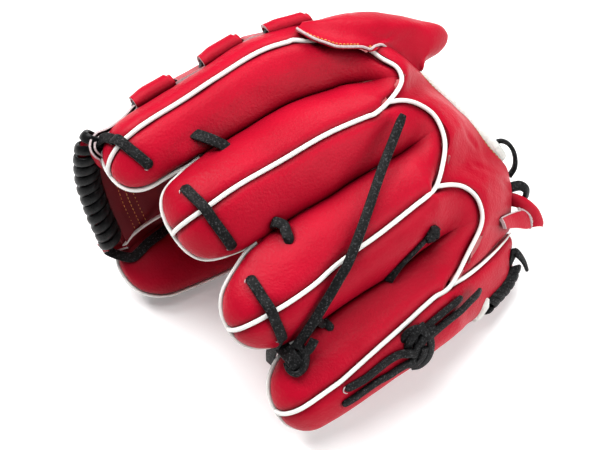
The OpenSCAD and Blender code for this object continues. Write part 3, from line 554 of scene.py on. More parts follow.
# ---------------------------------------------------------------- short laces in the creases
b = Build(); H2 = []
def loop(pts, N, w=5.2, t=2.2, n=30, k=12):
    P = cr(A(*pts), n + 30); b.strip(P, N if np.ndim(N) > 1 else A(*N), ends(P, w), t, k=k); return P
def surf(k, y, th, off=0.0): return fp(k, float(y), float(th), off)
i0, i1 = surf(0, 19.5, -46, 0.9), surf(1, 11, 63, 0.9)
loop([surf(0, 21, -41, -3), i0] + [i0 * (1 - q) + i1 * q + A(0.4, 0, 8.0) * q * (1 - q) for q in (0.25, 0.5, 0.75)] + [i1, surf(1, 9.5, 59, -3)], unit(A(0.35, 0, 1)), w=6.6, t=2.6)
H2.append((surf(0, 21, -42, 0.6), fn(0, 21, -42), 1))
c2 = [A(*v) for v in [[8.2, 12.6, -3.4], [8.7, 11.5, 1.6], [7.0, 9.8, 2.6], [4.4, 8.4, 3.2], [0.8, 9.4, 4.3], [-2.6, 10.4, 5.2], [-4.2, 12.2, 3.4]]]; loop(c2, unit(A(0.3, 0, 1)), w=6.2, t=2.5)
loop([surf(2, 19, -58, -3), surf(2, 18.4, -64, 1.0), surf(2, 17, -76, 2.0), surf(3, 15.4, 84, 2.2), surf(3, 14.4, 68, 1.6), surf(3, 13.6, 60, -0.6)], unit(A(0.1, 0, 1)), w=4.8)
# the knotted lace between ring and little finger
kc = [A(-52.5, -28.5, -15), A(-51, -31.5, -11.2), A(-48.8, -38.5, -8.4), A(-46.4, -49, -7.2), A(-44.6, -57, -7.4), A(-43.8, -63, -8.4), A(-43.4, -68, -13)]
P = cr(A(*kc), 70); b.strip(P, unit(A(-0.2, 0.1, 1)) + 0.5 * np.sin(np.linspace(0, 2.4 * np.pi, 70))[:, None] * A(1, 0, 0), np.interp(np.linspace(0, 1, 70), [0, 0.08, 0.3, 0.7, 1], [5.2, 4.4, 2.6, 2.9, 3.4]), 2.0)
for c, r, ax, q1 in ((A(-44.4, -60.0, -8.0), 2.5, A(0.25, 1, 0), 3.6), (A(-43.6, -63.6, -8.6), 3.1, A(0.6, 1, 0.2), 4.2), (A(-44.0, -62.0, -7.4), 2.4, A(-0.8, 0.8, 0.5), 3.0)):
    ax = unit(ax); uu = unit(np.cross(ax, A(0, 0, 1.0))); vv = np.cross(ax, uu); q = np.linspace(0.5, q1 * np.pi, 60)[:, None]
    ring = c + r * (np.cos(q) * uu + np.sin(q) * vv) + ax * (q - 2.0 * np.pi) * 0.28
    b.strip(ring, np.cos(q) * uu + np.sin(q) * vv, 3.4, 1.8, k=10)
b.make("crotch_lace", [BLACK], "hand", "black_lace", ["crotch_lace"])

# the knot at the little fingertip: turns round the standing lace, and its two ends
b = Build()
P = cr(A(*[[-54.9, 42, -15], [-53.2, 38.6, -11.5], [-54.5, 35.1, -8.5], [-58.4, 33.9, -7], [-62.9, 35.8, -7.4], [-66.5, 39.6, -9], [-66.9, 44, -10.5], [-63.4, 45.6, -13], [-59.1, 44.5, -14.5]]), 90); c0 = P.mean(0) + A(0, 0, -1.0)
b.strip(P, unit(P - c0), 5.0, 3.2)
b.strip(cr(A(*[[-48.4, 42.1, -17], [-53, 41.8, -12], [-57.3, 41.7, -8.6], [-62.6, 41.5, -8.6], [-65.8, 41.4, -11.5]]), 50), unit(A(0.1, 0.25, 1)), 8.4, 2.4)
b.strip(cr(A([-56, 27, -1], [-58.5, 31, -3.4], [-59.5, 34.5, -7], [-58.5, 37, -11]), 30), unit(A(-0.2, -0.1, 1)), 5.2, 2.4)
b.make("tip_knot", [BLACK], "hand", "black_lace", ["tip_knot"])
# lace end that goes on from the ring finger's lace down behind the little fingertip
b = Build(); P = cr(A([-45, 41, -8], [-47.6, 44.6, -15], [-50.4, 47.2, -24], [-56, 48.8, -36]), 50)
b.strip(P, unit(A(-0.1, 1, 0.35)), 6.8, 2.2)
b.make("tip_strap_lace", [BLACK], "hand", "black_lace")

# ---------------------------------------------------------------- lace along the little finger's outer side, and its square knot
b = Build(); H3 = []
up3 = unit(A(-0.62, -0.1, 0.78))
for pts_, w_, a_, c_ in (([[-86.4, -73, -25], [-87.0, -69, -21], [-87.9, -62, -18.6], [-89.2, -54.4, -17.6], [-89.8, -45, -16.8], [-90.6, -35.6, -15.6], [-91.5, -28, -14]], 4.4, True, False),
                         ([[-83.2, -59.5, -18.6], [-83.4, -55, -15.6], [-84.2, -44, -14.0], [-85.0, -35, -13.4], [-86.4, -27, -12.6], [-88, -21, -12]], 4.2, True, False),
                         ([[-94.5, -19.5, -15.5], [-92.0, -15.0, -13.4], [-89.7, -10.6, -12.8], [-89.0, -3.5, -12.8], [-89.6, 5.1, -12.9], [-90.2, 13, -13.2], [-89.6, 21, -13.2], [-89.3, 25.2, -15]], 5.0, False, True),
                         ([[-98.4, -20.5, -20.5], [-97.8, -15, -19.6], [-96.8, -8.2, -18.5], [-96.7, -1.2, -18.2], [-95.9, 7.4, -17.3], [-96, 16.1, -17.4], [-96.2, 24, -17.8], [-95.8, 30.5, -19.2]], 4.4, False, True)):
    P = cr(A(*pts_), 90); b.strip(P, up3, ends(P, w_, a_, c_), 2.2, k=16, e=0.45)
H3.append((A(-89.6, 24.0, -14.6), up3, A(0, 1.0, 0)))
b.make("side_lace", [BLACK], "hand", "black_lace", ["side_lace"])
b = Build()
for pts_, w_ in (([[-92.3, -17.5, -20.5], [-85.5, -16.9, -14.8], [-82.3, -20.4, -10.4], [-83.1, -26, -8.3], [-88.5, -29.4, -10], [-95.2, -28.8, -14.5], [-100.5, -25, -19.9], [-102.2, -19.7, -24.3], [-100.4, -15.4, -26.5]], 4.8), ([[-88.5, -35.4, -10.4], [-88.9, -29, -10.5], [-91.4, -22.9, -12.9], [-95.3, -19.1, -17.7], [-98.7, -16.3, -23.6]], 5.0), ([[-83.7, -31, -10.2], [-84.4, -23.5, -9.6], [-87.7, -18.2, -13], [-92.6, -16, -19.6]], 4.8), ([[-94.1, -25, -13.3], [-98, -22.1, -17.5], [-100.3, -17.8, -23], [-99, -14.7, -26]], 4.4)):
    P = cr(A(*pts_), 60); b.strip(P, unit(up3 + A(0, 0, 0.3) + 0.35 * unit(P - A(-92.5, -22, -22))), w_, 2.6, k=16)
b.make("side_knot", [BLACK], "hand", "black_lace", ["side_knot"])
b = Build()
for c, n, d in H3:
    u = unit(np.cross(n, d)); an = np.linspace(-2.2, 2.2, 15)
    b.tube(np.array([c + 2.6 * math.sin(q) * u + 2.7 * math.cos(q) * d for q in an * 0.6]), np.concatenate([[0.1], np.full(13, 0.4), [0.1]]), 6)
b.make("side_holes", [RAW], "hand", "red_leather")

# ---------------------------------------------------------------- wound laces
def wound(b, C, r, turns, w, t, m=0, n=26, lean=0.0, r2=None, phase=0.0):
    C = cr(C, 400); T = tang(C); u = np.zeros_like(C); a = unit(np.cross(T[0], A(0, 0, 1.0)))
    for i in range(400):
        a = unit(a - T[i] * a.dot(T[i])); u[i] = a
    v = np.cross(T, u); N = int(turns * n); q = np.linspace(0, turns, N + 1); ang = 2 * np.pi * q + phase
    s = q / turns * 399 + lean * np.cos(ang); s = np.clip(s, 0, 399)
    def g(X): return np.stack([np.interp(s, np.arange(400), X[:, i]) for i in range(3)], 1)
    R = np.cos(ang)[:, None] * g(u) + np.sin(ang)[:, None] * g(v) * (r2 or r) / r
    P = g(C) + r * R; NN = unit(np.cos(ang)[:, None] * g(u) + np.sin(ang)[:, None] * g(v)); TT = g(T)
    k = 12; an = np.linspace(0, 2 * np.pi, k, endpoint=False)
    c_ = np.sign(np.cos(an)) * np.abs(np.cos(an)) ** 0.8; q_ = np.sign(np.sin(an)) * np.abs(np.sin(an)) ** 0.8
    X = P[:, None] + w / 2 * c_[None, :, None] * TT[:, None] + t / 2 * q_[None, :, None] * NN[:, None]; M_ = len(P)
    F = [(i * k + j, i * k + (j + 1) % k, (i + 1) * k + (j + 1) % k, (i + 1) * k + j) for i in range(M_ - 1) for j in range(k)]
    F += [tuple(range(k))[::-1], tuple((M_ - 1) * k + j for j in range(k))]
    b.add(X.reshape(-1, 3), F, m)
b = Build()
wound(b, A([-91.2, -112.5, -73], [-95, -105.4, -69], [-97.2, -97.3, -64.5], [-98.4, -87, -58.5], [-99.3, -77, -52.5]), 3.9, 6.4, 6.8, 2.4, lean=30, phase=0.6)
P = cr(A([-89, -108.5, -69], [-85.5, -112.5, -65], [-83.4, -115.3, -63.6], [-86, -116.8, -64], [-91.8, -118.2, -67], [-97.6, -118.0, -70]), 60)
b.strip(P, unit(A(-0.2, -0.6, 0.8)), np.interp(np.linspace(0, 1, 60), [0, 0.45, 0.6, 1], [5.0, 5.6, 4.8, 2.4]), np.linspace(3.0, 1.8, 60))
b.make("heel_lace", [BLACK], "hand", "black_lace", ["heel_lace"])
b = Build(); b.tube(cr(A([-95.5, -81, -49], [-98.5, -76, -52.6], [-100.8, -71.6, -56.4], [-100.6, -68, -60]), 40), np.concatenate([np.linspace(1.5, 3.6, 10), np.full(20, 3.6), np.linspace(3.6, 1.5, 10)]), 18)
b.make("heel_fleece", [FLEECE], "hand", "fleece")

# ---------------------------------------------------------------- wrist: fleece roll, strap, loops
FL = cr(A([37.3, -118.8, -42.2], [35.3, -119.8, -43], [22.9, -123.6, -45], [12.8, -126.9, -46.5], [1.7, -129.9, -49], [-10.3, -133.2, -52], [-19.9, -136.4, -55], [-27.5, -138.6, -58], [-32.5, -139.4, -61]), 150)
b = Build(); r = np.interp(np.linspace(0, 1, 150), [0, 0.3, 0.6, 0.85, 1], [1.6, 2.3, 2.7, 3.9, 3.4]) + 0.12 * np.sin(np.linspace(0, 47, 150)) + 0.08 * np.sin(np.linspace(0, 113, 150)); r[:5] *= np.linspace(0.4, 1, 5); r[-6:] *= np.sin(np.linspace(1.5, 0.5, 6))
b.tube(FL, r, 30)
V = np.concatenate(b.V); rng = np.random.default_rng(4)
V += rng.normal(size=V.shape) * 0.10; b.V = [V]
T_ = tang(FL)
for i in range(1500):  # loose fibres of the pile
    j = rng.integers(3, 147); a = rng.uniform(0, 2 * np.pi); d = unit(rng.normal(size=3)); d = unit(d - T_[j] * d.dot(T_[j]) * 0.7)
    p = FL[j] + d * (r[j] - 0.3); e = p + unit(d + 0.7 * rng.normal(size=3)) * rng.uniform(0.4, 0.9)
    b.tube([p, (p + e) / 2 + rng.normal(size=3) * 0.15, e], [0.11, 0.09, 0.04], 3, 0)
b.make("wrist_fleece", [FLEECE], "hand", "fleece", ["wrist_fleece"], sharp=0)
b = Build(); be = cr(LOW[1:9], 90); b.stitches(be + A(0, 0.9, 1.0), unit(A(0, -0.5, 1)), 1.0, 1.5, 0.22)
b.make("fleece_stitches", [PALETH], "hand", "fleece")
b = Build()
P = cr(A([60, -113, -60], [38, -117, -61], [6, -119, -62], [-25, -120, -64], [-54, -118, -66]), 60)
N = unit(A(0, -0.75, 0.66)); T = tang(P); S = unit(np.cross(T, np.broadcast_to(N, T.shape)))
G = np.stack([P + S * v + N * 1.5 for v in np.linspace(-10, 10, 12)], 1); b.sheet(relief(G, away=(0, -60, -62), grooves=[(P + S * 8 + N * 1.5, 0.5, 0.9), (P - S * 8 + N * 1.5, 0.5, 0.9)]), 3.0, away=(0, -60, -62))
b.make("wrist_strap", LEATHER, "hand", "red_leather", ["wrist_strap"])
b = Build()
for sg in (8, -8): b.stitches(P[3:-3] + S[3:-3] * sg + N * 1.15, N, 2.6, 1.4, 0.3)
b.make("strap_stitches", [ORANGE], "hand", "red_leather")
b = Build(); P = cr(A([-24, -134, -61], [-21.8, -138, -57.6], [-22.1, -142.0, -55], [-25.1, -145.3, -54.8], [-30, -146.8, -56], [-35.7, -146.4, -59], [-40.7, -144.2, -63], [-43.5, -140, -67]), 70)
b.strip(P, unit(P - A(-31, -137, -60)), 4.4, 2.7)
b.strip(cr(A([-47.5, -130, -66], [-49.5, -134.9, -61.4], [-51.6, -139.9, -60.6], [-55.8, -142.5, -62.4], [-60, -141, -67]), 40), unit(A(0, -0.5, 0.85)), 6.4, 3.0)
b.make("strap_lace", [BLACK], "hand", "black_lace", ["strap_lace"])
# strap loop: a band that runs out over the edge, turns under, and comes back to lie on the leather
b = Build(); o_, i_ = cr(A(*[[-51.2, -132.1, -61], [-55.4, -135.7, -60], [-59.8, -138.9, -60.5], [-64.8, -141.7, -62.5], [-70, -143.7, -65.5], [-75, -144.5, -69], [-79.2, -144.5, -72.5], [-81.5, -143.4, -75]]), 60), cr(A(*[[-58, -127.5, -63], [-60.4, -129.8, -61.5], [-62.8, -131.8, -61], [-65.6, -134.1, -62], [-68.9, -136.2, -64.5], [-72.1, -137.1, -67], [-75.1, -136.8, -70], [-77.5, -135.3, -72.5]]), 60); c_ = np.linspace(0, 1, 12)[None, :, None]
G = o_[:, None] * (1 - c_) + i_[:, None] * c_ + 4 * c_ * (1 - c_) * A(0.2, -0.3, 1.6)
b.sheet(relief(G, toward=(-60, -160, 60), grooves=[], wobble=0.2), 1.8, toward=(-60, -160, 60), m=(0, 1, 0))
wv = np.sin(np.linspace(0, 60, 60))[:, None] * A(0.2, 0.2, 0.2); b.tube(i_[14:] + wv[14:] - A(0, 0, 0.5), 0.95, 8, 1)
t_, u_ = cr(A(*[[-60.2, -112.6, -41.7], [-61.8, -122.0, -51.4], [-64.2, -131.1, -58], [-68.3, -136.1, -64]]), 40), cr(A(*[[-67.1, -112.1, -43.7], [-71.2, -121.8, -55.6], [-75.7, -129.6, -64], [-77.3, -134.4, -69]]), 40)
G = t_[:, None] * (1 - c_) + u_[:, None] * c_ + 4 * c_ * (1 - c_) * A(0, -0.2, 0.5)
b.sheet(G, 1.8, toward=(-60, -160, 60), m=(0, 1, 0))
b.tube(np.concatenate([G[28::-1, 0], G[0, 1:]]), 0.42, 8, 1)
b.make("strap_loop", [RED, RAW], "hand", "red_leather", ["strap_loop"])
for nm, k, y, body in (("little_loop", 3, -40, "hand"), ("thumb_loop", 4, -50, "thumb_web")):
    b = Build(); th = np.linspace(-64, 64, 40)
    P = fp0(k, float(y) + 0 * th, th, -7.0); N = unit(fp0(k, y + 0 * th, th, 4) - fp0(k, y + 0 * th, th, 0))
    b.strip(P, N, 14, 2, k=18, e=0.35); b.make(nm, [TAN], body, "tan_leather", [nm])
for nm, pts, r, body in (("little_heel_pad", [(-83, -84, -50), (-81.5, -89, -53), (-82, -95, -58), (-80, -100, -60)], 5, "hand"),):
    b = Build(); b.tube(cr(A(*pts), 24), r * np.sin(np.linspace(0.5, np.pi - 0.5, 24)) ** 0.5, 18); b.make(nm, [FELTM], body, "felt", [nm])
b = Build()
u = np.linspace(-1, 1, 22); X = np.array([[(21 + 24 * a * (1 - 0.1 * c), -93 + 14 * c, -128.5 + 4.0 * max(0.0, (1 - a ** 4) * (1 - c ** 4)) ** 0.5) for c in u] for a in u])
b.sheet(X, 7.5, away=(21, -93, -160), m=(0, 0, 0)); b.make("thumb_heel_pad", [FELTM], "thumb_web", "felt", ["thumb_heel_pad"])

# ---------------------------------------------------------------- hood over the index finger hole
h0 = cr(A(*[[93.5, -62.3, -14], [84.3, -65.4, -9], [77.9, -69.4, -6.5], [72.5, -73.8, -6], [68.6, -80.5, -7.5], [65.4, -87.5, -11], [62, -91.9, -14], [62.2, -96.7, -17], [61.2, -101.1, -20], [57.8, -104.5, -25], [50.8, -109.5, -31.5], [43.3, -114.1, -37], [36.4, -118, -41]]), 60); h3 = cr(A(*[[95, -71.2, -32], [92.7, -79.3, -28], [90, -89.8, -27], [86.7, -99.3, -29], [80.1, -113.3, -34], [70.5, -128.2, -40], [63, -138.6, -45], [55.2, -147.9, -49], [49.6, -150, -51], [46.3, -148.9, -52], [43.2, -144.6, -52], [41.6, -137.2, -51], [41.7, -128.5, -49], [38.4, -122, -47]]), 60)
h4 = h3 + unit(h0 - h3) * 2.5 - A(0, 0, 7)
HG = cr(np.stack([h0, h0 * 0.72 + h3 * 0.28 + A(-0.2, 0.3, -0.6), h0 * 0.36 + h3 * 0.64 + A(1.0, -1.5, 3.2), h3, h4]), 40)
b = Build(); b.sheet(relief(HG, toward=(40, -60, 60), grooves=[(HG[2], 0.4, 1.0)], wobble=0.4, seed=20), 1.8, toward=(40, -60, 60), m=(0, 0, 2))
hbl = dict(blend=("hand", "hood", W([76.5, -85, -12]).tolist(), W([89.5, -98, -28]).tolist()))
b.make("finger_hood", LEATHER, None, "red_leather", ["finger_hood"], **hbl)
b = Build(); hn = unit(A(0.1, 0.1, 1)); b.tube(HG[0][:48] + A(0, 0.2, 0.0) + 0.22 * np.sin(np.linspace(0, 40, 48))[:, None] * A(0.4, 0.7, 0.3), 0.8, 8); b.make("hood_raw_edge", [RAW], None, "red_leather", **hbl)
b = Build(); hn = gridn(HG); hn = hn * (1 if hn[3][20][2] > 0 else -1)
b.stitches(HG[2][4:25], hn[2][4:25], 1.0, 1.2, 0.30, lift=0.35)
b.stitches(HG[2][28:31], hn[2][28:31], 1.4, 0.8, 0.36, lift=0.35)
b.make("hood_stitches", [ORANGE], None, "red_leather", **hbl)

# ---------------------------------------------------------------- web strip of the index finger, with its three tunnels
def edge_x(y): return np.where(y < -40, 92.5 + 13 * (y + 84) / 44, np.where(y > 40, 105.5 - 4 * (y - 40) / 20, 105.5))
TUN = [(-78.0, -50.0), (-36.5, -8.3), (8.5, 36.7)]
out = A(0.95, 0, 0.32)
def sp(y, v, off): return np.stack([edge_x(y) + 4 * v, y + 0 * v, -28 - 12 * v], -1) + np.asarray(off)[..., None] * out
b = Build()
y = np.linspace(-76, 36, 150)[:, None]; v = np.linspace(0, 1.05, 9)[None]
low = -1.2 + 0.9 * np.sin(y / 9.0) * 0.3 + 0 * v
b.sheet(relief(sp(y + 0 * v, v + 0 * y, low), away=(60, 0, -40), grooves=[], wobble=0.25), 1.8, away=(60, 0, -40), m=(0, 1, 1))
for t0, t1 in TUN:
    yy = np.linspace(t0 + 1.5, t1 - 1, 40)[:, None]; a = np.linspace(-0.15, 1.15, 22)[None]; an = a * np.pi
    e = np.clip((yy - t0) / 4, 0.75, 1) * (1 - 0.22 * smooth((yy - t0 - 18) / 10))
    X = np.stack([edge_x(yy) + 1.8 + 0 * an, yy + 0 * an, -32.2 + 0 * an + 0 * yy], -1) + (5.8 * e * np.sin(an) - 0.6)[..., None] * out + (6.0 * np.cos(an) * (1 + 0 * yy))[..., None] * unit(A(-0.32, 0, 0.95))
    b.sheet(relief(X, away=(104, float((t0 + t1) / 2), -33), grooves=[], wobble=0.3, seed=t0), 1.9, away=(104, float((t0 + t1) / 2), -33), m=(0, 1, 2))
e_ = cr(A(*[[106.6, 31.8, -30], [105.9, 37.5, -29], [103.4, 45.7, -28], [102.4, 55.5, -26], [103.3, 62.7, -25], [100.9, 68.4, -25], [96.7, 71.1, -25], [92.3, 70.9, -26.5], [89, 69, -29]]), 70)
for sh, n0 in ((0.0, 0), (-2.6, 0)):
    P = e_[n0:] + sh * unit(np.cross(tang(e_[n0:]), A(0, 0, 1.0))) * (1 if np.cross(tang(e_)[5], A(0, 0, 1.0))[0] > 0 else -1)
    b.sheet(np.stack([P, P + A(-0.8, 0, -4), P + A(-2, 0, -8), P + A(-4, -0.5, -12)], 1), 1.1, away=(60, 10, -40), m=(0, 1, 0))
b.make("index_web_strip", LEATHER, "hand", "red_leather", ["index_web_strip"])
b = Build(); y = np.linspace(-77, 46, 160); hgt = np.zeros(160)
for t0, t1 in TUN: hgt += 2.4 * smooth((y - t0 + 3) / 6) * smooth((t1 - y + 3) / 6)
P = np.stack([edge_x(y) + 1.6, y, -31.5 + 0 * y], -1) + (hgt * 2.2 - 4.6)[:, None] * out
P = cr(P, 170); NN = np.repeat(out[None], 170, 0)
b.strip(P, NN, 5.6, 2.0); b.make("index_web_lace", [BLACK], "hand", "black_lace", ["index_web_lace"])
b = Build()  # the loop of flat lace from the strip's last hole to the index fingertip's lace
P = cr(A([96.5, 67.4, -36], [98.2, 66.6, -31], [98.6, 63.6, -26], [97.6, 60.6, -21.4], [95.2, 59, -17.2], [92.4, 57.8, -13.8]), 50)
b.strip(P, unit(A(0.5, 0.2, 0.85)), 6, 2.3); b.make("index_tip_lace", [BLACK], "hand", "black_lace")

# ---------------------------------------------------------------- thumb
# the thumb's leather is the darker copy of the red: painted shade
TH4_PAINTED_SHADE = [THUMB_PAINTED_SHADE_RED, RAW, SUEDE]
b = Build(); th = np.linspace(-92, 92, 60); G = half(4, th, np.full(60, YB[4] + 1.5))
G = along(G, [A([56, -98, -124], [50, -98, -134], [42, -98, -142], [34, -98, -145], [26, -98, -146], [18, -98, -146], [8, -98, -143], [-2, -98, -138], [-10, -98, -132], [-17, -98, -125], [-22, -98, -119])[::-1],
    A([62, -119, -118], [56, -119, -126], [46, -119, -134], [36, -119, -139], [26, -119, -139], [16, -119, -138], [4, -119, -136], [-8, -119, -132], [-18, -119, -127], [-28, -119, -121], [-36, -119, -115])[::-1]], 16) if np.linalg.norm(G[-1, 0] - A(-22, -98, -119)) < np.linalg.norm(G[-1, 0] - A(56, -98, -124)) else along(G, [
    A([56, -98, -124], [50, -98, -134], [42, -98, -142], [34, -98, -145], [26, -98, -146], [18, -98, -146], [8, -98, -143], [-2, -98, -138], [-10, -98, -132], [-17, -98, -125], [-22, -98, -119]),
    A([62, -119, -118], [56, -119, -126], [46, -119, -134], [36, -119, -139], [26, -119, -139], [16, -119, -138], [4, -119, -136], [-8, -119, -132], [-18, -119, -127], [-28, -119, -121], [-36, -119, -115])], 16)
tb = cr(np.array([fp0(4, yy, 0.0) for yy in np.linspace(-60, 84, 40)]), 120)
b.sheet(relief(G, away=(24, 0, -112), grooves=GROOVES + [(tb, 1.3, 2.4)], seed=30), 2.4, away=(24, 0, -112))
b.make("thumb_back", TH4_PAINTED_SHADE, "thumb_web", "red_leather", ["thumb_back"])
b = Build(); b.tube(tb - A(0, 0, 0.35), 1.4, 10); b.make("thumb_centre_piping", [WHITE], "thumb_web", "white_piping")
b = Build(); th = np.linspace(92, 268, 50); G = half(4, th, np.full(50, -48.0))
b.sheet(relief(G, away=(24, 0, -112), seed=31), 2.2, away=(24, 0, -112))
b.make("thumb_front", TH4_PAINTED_SHADE, "thumb_web", "red_leather", ["thumb_front"])
b = Build(); Q = cr(A([50.5, 86, -97], [48, 86, -93.4], [43.6, 83.2, -91], [39.8, 79.8, -90.4], [37.3, 76, -90.4], [38.2, 70.4, -90.4], [39.7, 64.2, -90.8], [40.6, 55, -92.6], [41.3, 49, -97]), 80)
b.strip(Q, unit(A(0.05, 0.15, 1)), 5.8, 2.3)
b.make("thumb_lace", [BLACK], "thumb_web", "black_lace", ["thumb_lace"])
b = Build(); P = cr(A([45.8, 80, -92.6], [46.0, 76.8, -90.8], [48.6, 69.4, -89.4], [49.6, 60, -88.2], [49.5, 50, -87.4], [49.8, 38, -88], [49, 14, -92]), 60)
b.tube(P, 1.0, 10); b.make("web_seam_piping", [WHITE], "thumb_web", "white_piping")
b = Build(); y = np.linspace(-36, 72, 80)
m4 = np.array([midl(4, yy) for yy in y])
rows4 = [np.stack([m4[:, 0] + m4[:, 2] + a, y, m4[:, 1] + c], -1) for a, c in ((2, -4), (4.5, 0), (7, 4), (9, 6))]
b.sheet(relief(np.stack(rows4, 1), away=(20, 0, -100), grooves=[], wobble=0.25), 1.8, away=(20, 0, -100), m=(0, 1, 1))
b.make("thumb_web_strip", TH4_PAINTED_SHADE, "thumb_web", "red_leather", ["thumb_web_strip"])
b = Build()
for yy in (-30, 0, 30):
    m = midl(4, float(yy)); P = cr(np.array([[m[0] + m[2] + a + 1, yy + c / 2, m[1] + c] for a, c in ((1, -9), (4.5, -6), (8.5, -4), (12, 0), (12, 3))]), 24)
    b.strip(P, unit(A(0.7, 0, -0.6)), 5.4, 2.1)
b.make("thumb_web_lace", [BLACK], "thumb_web", "black_lace", ["thumb_web_lace"])

# ---------------------------------------------------------------- web between thumb and index finger
WEB0 = A([104, -45, -46], [102, -45, -60], [92, -45, -77], [79, -45, -90], [67, -45, -100], [50, -45, -112])
WEB1 = A([101.5, 60, -42], [98.5, 67, -50], [90, 72.5, -58], [78, 75.5, -68], [65, 77.5, -79], [44, 78, -98])
w0, w1 = cr(WEB0, 50), cr(WEB1, 50); t = np.linspace(0, 1, 60)[:, None, None]
WG = w0 * (1 - t) + w1 * t + 4 * t * (1 - t) * A(2, 0, -3)
b = Build(); b.sheet(relief(WG, away=(20, 10, -40), grooves=[(WG[:, 25], 0.6, 1.2)], seed=40), 3.0, away=(20, 10, -40), m=(0, 1, 2))
b.make("web_panel", [RED, DARKRED, DARKRED], "thumb_web", "red_leather", ["web_panel"])
LG = WG[:59, 3:48]; n_ = gridn(LG); sg = 1 if (n_ * (A(20, 10, -40) - LG)).sum() > 0 else -1
LG = LG + n_ * sg * (3.0 + 1.9)
b = Build(); b.sheet(relief(LG, toward=(20, 10, -40), grooves=[(LG[i], 0.4, 0.8) for i in (50, 52, 54)], seed=41), 1.6, toward=(20, 10, -40), m=(0, 0, 0))
b.make("web_lining", [DARKRED], "thumb_web", "dark_red_leather", ["web_lining"])
b = Build(); nl = gridn(LG) * sg
for i in (50, 52, 54): b.stitches(LG[i, 2:-3] - 0.25 * nl[i, 2:-3], nl[i, 2:-3], 1.5, 1.3, 0.26, lift=0.35)
b.make("web_stitches", [ORANGE], "thumb_web", "dark_red_leather")
# top rail, wound with lace; its upper end lies by the index fingertip
RAIL = A([102.1, 62.4, -30.8], [100.9, 66.5, -33.5], [100.2, 68.8, -35], [97.3, 71.8, -39], [92.5, 74.9, -46], [84.7, 78.2, -55], [75.7, 80, -63], [67.3, 81.4, -70], [58.4, 81.9, -78], [52, 82.5, -85])
hb = dict(blend=("hand", "thumb_web", W([103, 62, -34]).tolist(), W([101, 71, -48]).tolist()))
b = Build(); b.tube(cr(RAIL, 120)[12:], 4.8, 18); b.make("web_rail", [RED], None, "red_leather", ["web_rail"], **hb)
b = Build(); wound(b, RAIL, 6.2, 11.6, 6.4, 3.0, n=34, lean=8, phase=3.2)
b.make("web_rail_lace", [SHINY], None, "black_lace", ["web_rail_lace"], **hb)

b = Build(); G = np.stack([cr(A([46, 76, -90], [48, 82, -91.5], [51, 89, -94]), 14) + A(4.5, 0.5, -2.6) * k for k in np.linspace(-0.4, 1, 6)], 1)
b.sheet(G, 1.8, toward=(40, 80, 0), m=(0, 1, 1)); b.make("web_corner", LEATHER, "thumb_web", "red_leather")

# ---------------------------------------------------------------- palm: one skin from the little finger side round the web side to the thumb
PK = [A([-97, -64, -55], [-75, -64, -56], [-40, -64, -43], [0, -64, -38], [40, -64, -38], [68, -64, -49], [86, -64, -55]),
      A([-97, -90, -68], [-75, -90, -64], [-40, -90, -54], [0, -90, -50], [40, -90, -50], [64, -90, -58], [84, -90, -63]),
      A([-95, -108, -80], [-75, -108, -78], [-40, -108, -70], [0, -108, -66], [40, -108, -66], [60, -108, -72], [78, -108, -77]),
      A([-87, -121, -92], [-70, -121, -94], [-40, -121, -92], [0, -121, -90], [40, -121, -90], [56, -121, -92], [70, -121, -95])]
TK = [A([6, -52, -112], [24, -52, -111], [46, -52, -110], [72, -52, -94], [88, -52, -76], [98, -52, -60]),
      A([-6, -80, -118], [18, -80, -116], [50, -80, -113], [70, -80, -100], [86, -80, -84], [95, -80, -68]),
      A([-20, -104, -122], [6, -104, -121], [44, -104, -118], [64, -104, -108], [80, -104, -94], [88, -104, -80]),
      A([-36, -120, -113], [-4, -120, -112], [36, -120, -112], [58, -120, -107], [72, -120, -101], [82, -120, -91])]
K0 = [A([-99, -44, -50], [-77, -46, -47], [-50, -46, -38], [-22, -46, -31], [5, -46, -35], [32, -46, -29], [57, -46, -39], [80, -46, -43], [98, -46, -48], [101, -46, -56],
        [90, -46, -77], [78, -46, -90], [60, -46, -101], [46, -46, -108], [24, -46, -106.5], [4, -46, -109])]
rowsP = [cr(k, 110) for k in K0 + [np.concatenate([p, q[::-1]]) for p, q in zip(PK, TK)]]
UG = cr(np.stack(rowsP), 46)
ubl = ("hand", "thumb_web", W([90, -60, -54]).tolist(), W([90, -54.63, -62.67]).tolist())
b = Build(); b.sheet(relief(UG, toward=(10, 40, -76), grooves=[(UG[-4], 0.6, 1.0)], wobble=0.6, seed=50), 2.8, toward=(10, 40, -76), m=(0, 1, 2))
b.make("palm_skin", LEATHER, None, "red_leather", ["palm_panel", "thumb_palm_panel"], blend=ubl)
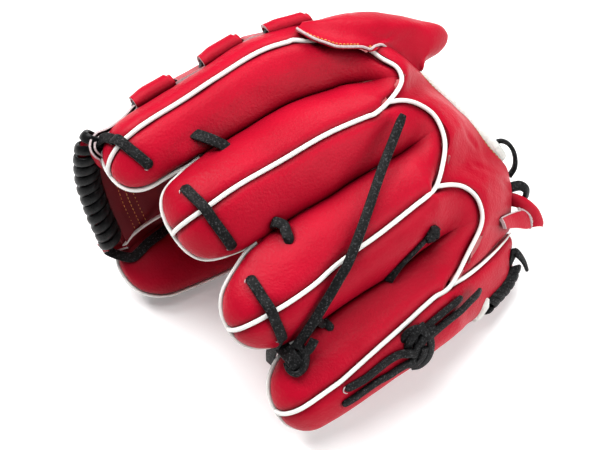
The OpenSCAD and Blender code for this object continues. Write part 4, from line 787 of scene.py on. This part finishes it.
def layer(t0, t1, name, mat, slot):
    R = np.stack([cr(p, 60) for p in PK]); R = cr(R, 34)[9:-3, 10:-10]; n = gridn(R); sg = 1 if n[10, 20, 2] > 0 else -1
    b = Build(); X = R + n * sg * t1; X = X + (n * sg) * (0.5 * wob(X, 0.8, 7))[..., None]
    b.sheet(X, t1 - t0, toward=(0, -60, 60), m=(0, 0, 0)); return b.make(name, [mat], "hand", slot, [name])
layer(1.9, 4.6, "palm_felt", FELTM, "felt"); layer(5.0, 6.2, "palm_lining", TAN, "tan_leather")

# ---------------------------------------------------------------- stage
fm = bpy.data.meshes.new("floor"); fm.from_pydata([(-4, -4, 0), (4, -4, 0), (4, 4, 0), (-4, 4, 0)], [], [(0, 1, 2, 3)])
floor = bpy.data.objects.new("floor", fm); sc.collection.objects.link(floor)
m, nt, bs, co = nodes_of("floor_paper")
n = tex(nt, co, "noise", 6, 2.0); nt.links.new(ramp(nt, n.outputs[0], [(0.3, (0.90, 0.90, 0.90)), (0.7, (0.94, 0.94, 0.94))]), bs.inputs["Base Color"])
bs.inputs["Roughness"].default_value = 0.9; bs.inputs["Emission Color"].default_value = (1, 1, 1, 1); bs.inputs["Emission Strength"].default_value = 0.22
fm.materials.append(m)
w = bpy.data.worlds.new("soft"); sc.world = w; w.use_nodes = True
w.node_tree.nodes["Background"].inputs[0].default_value = (1, 1, 1, 1); w.node_tree.nodes["Background"].inputs[1].default_value = 0.15
def area(name, loc, size, power, target=(0, 0, 0.06)):
    L = bpy.data.lights.new(name, "AREA"); L.shape = "DISK"; L.size = size; L.energy = power
    o = bpy.data.objects.new(name, L); sc.collection.objects.link(o); o.location = loc
    o.rotation_euler = (Vector(target) - Vector(loc)).to_track_quat("-Z", "Y").to_euler()
area("key", (-0.55, 0.75, 1.15), 0.5, 15)
area("key_right", (0.75, 0.55, 1.1), 0.9, 12)
area("fill", (0.55, -0.95, 0.85), 1.0, 11)
area("top", (-0.2, 0.1, 1.6), 0.9, 13)
sc.view_settings.view_transform = "Standard"
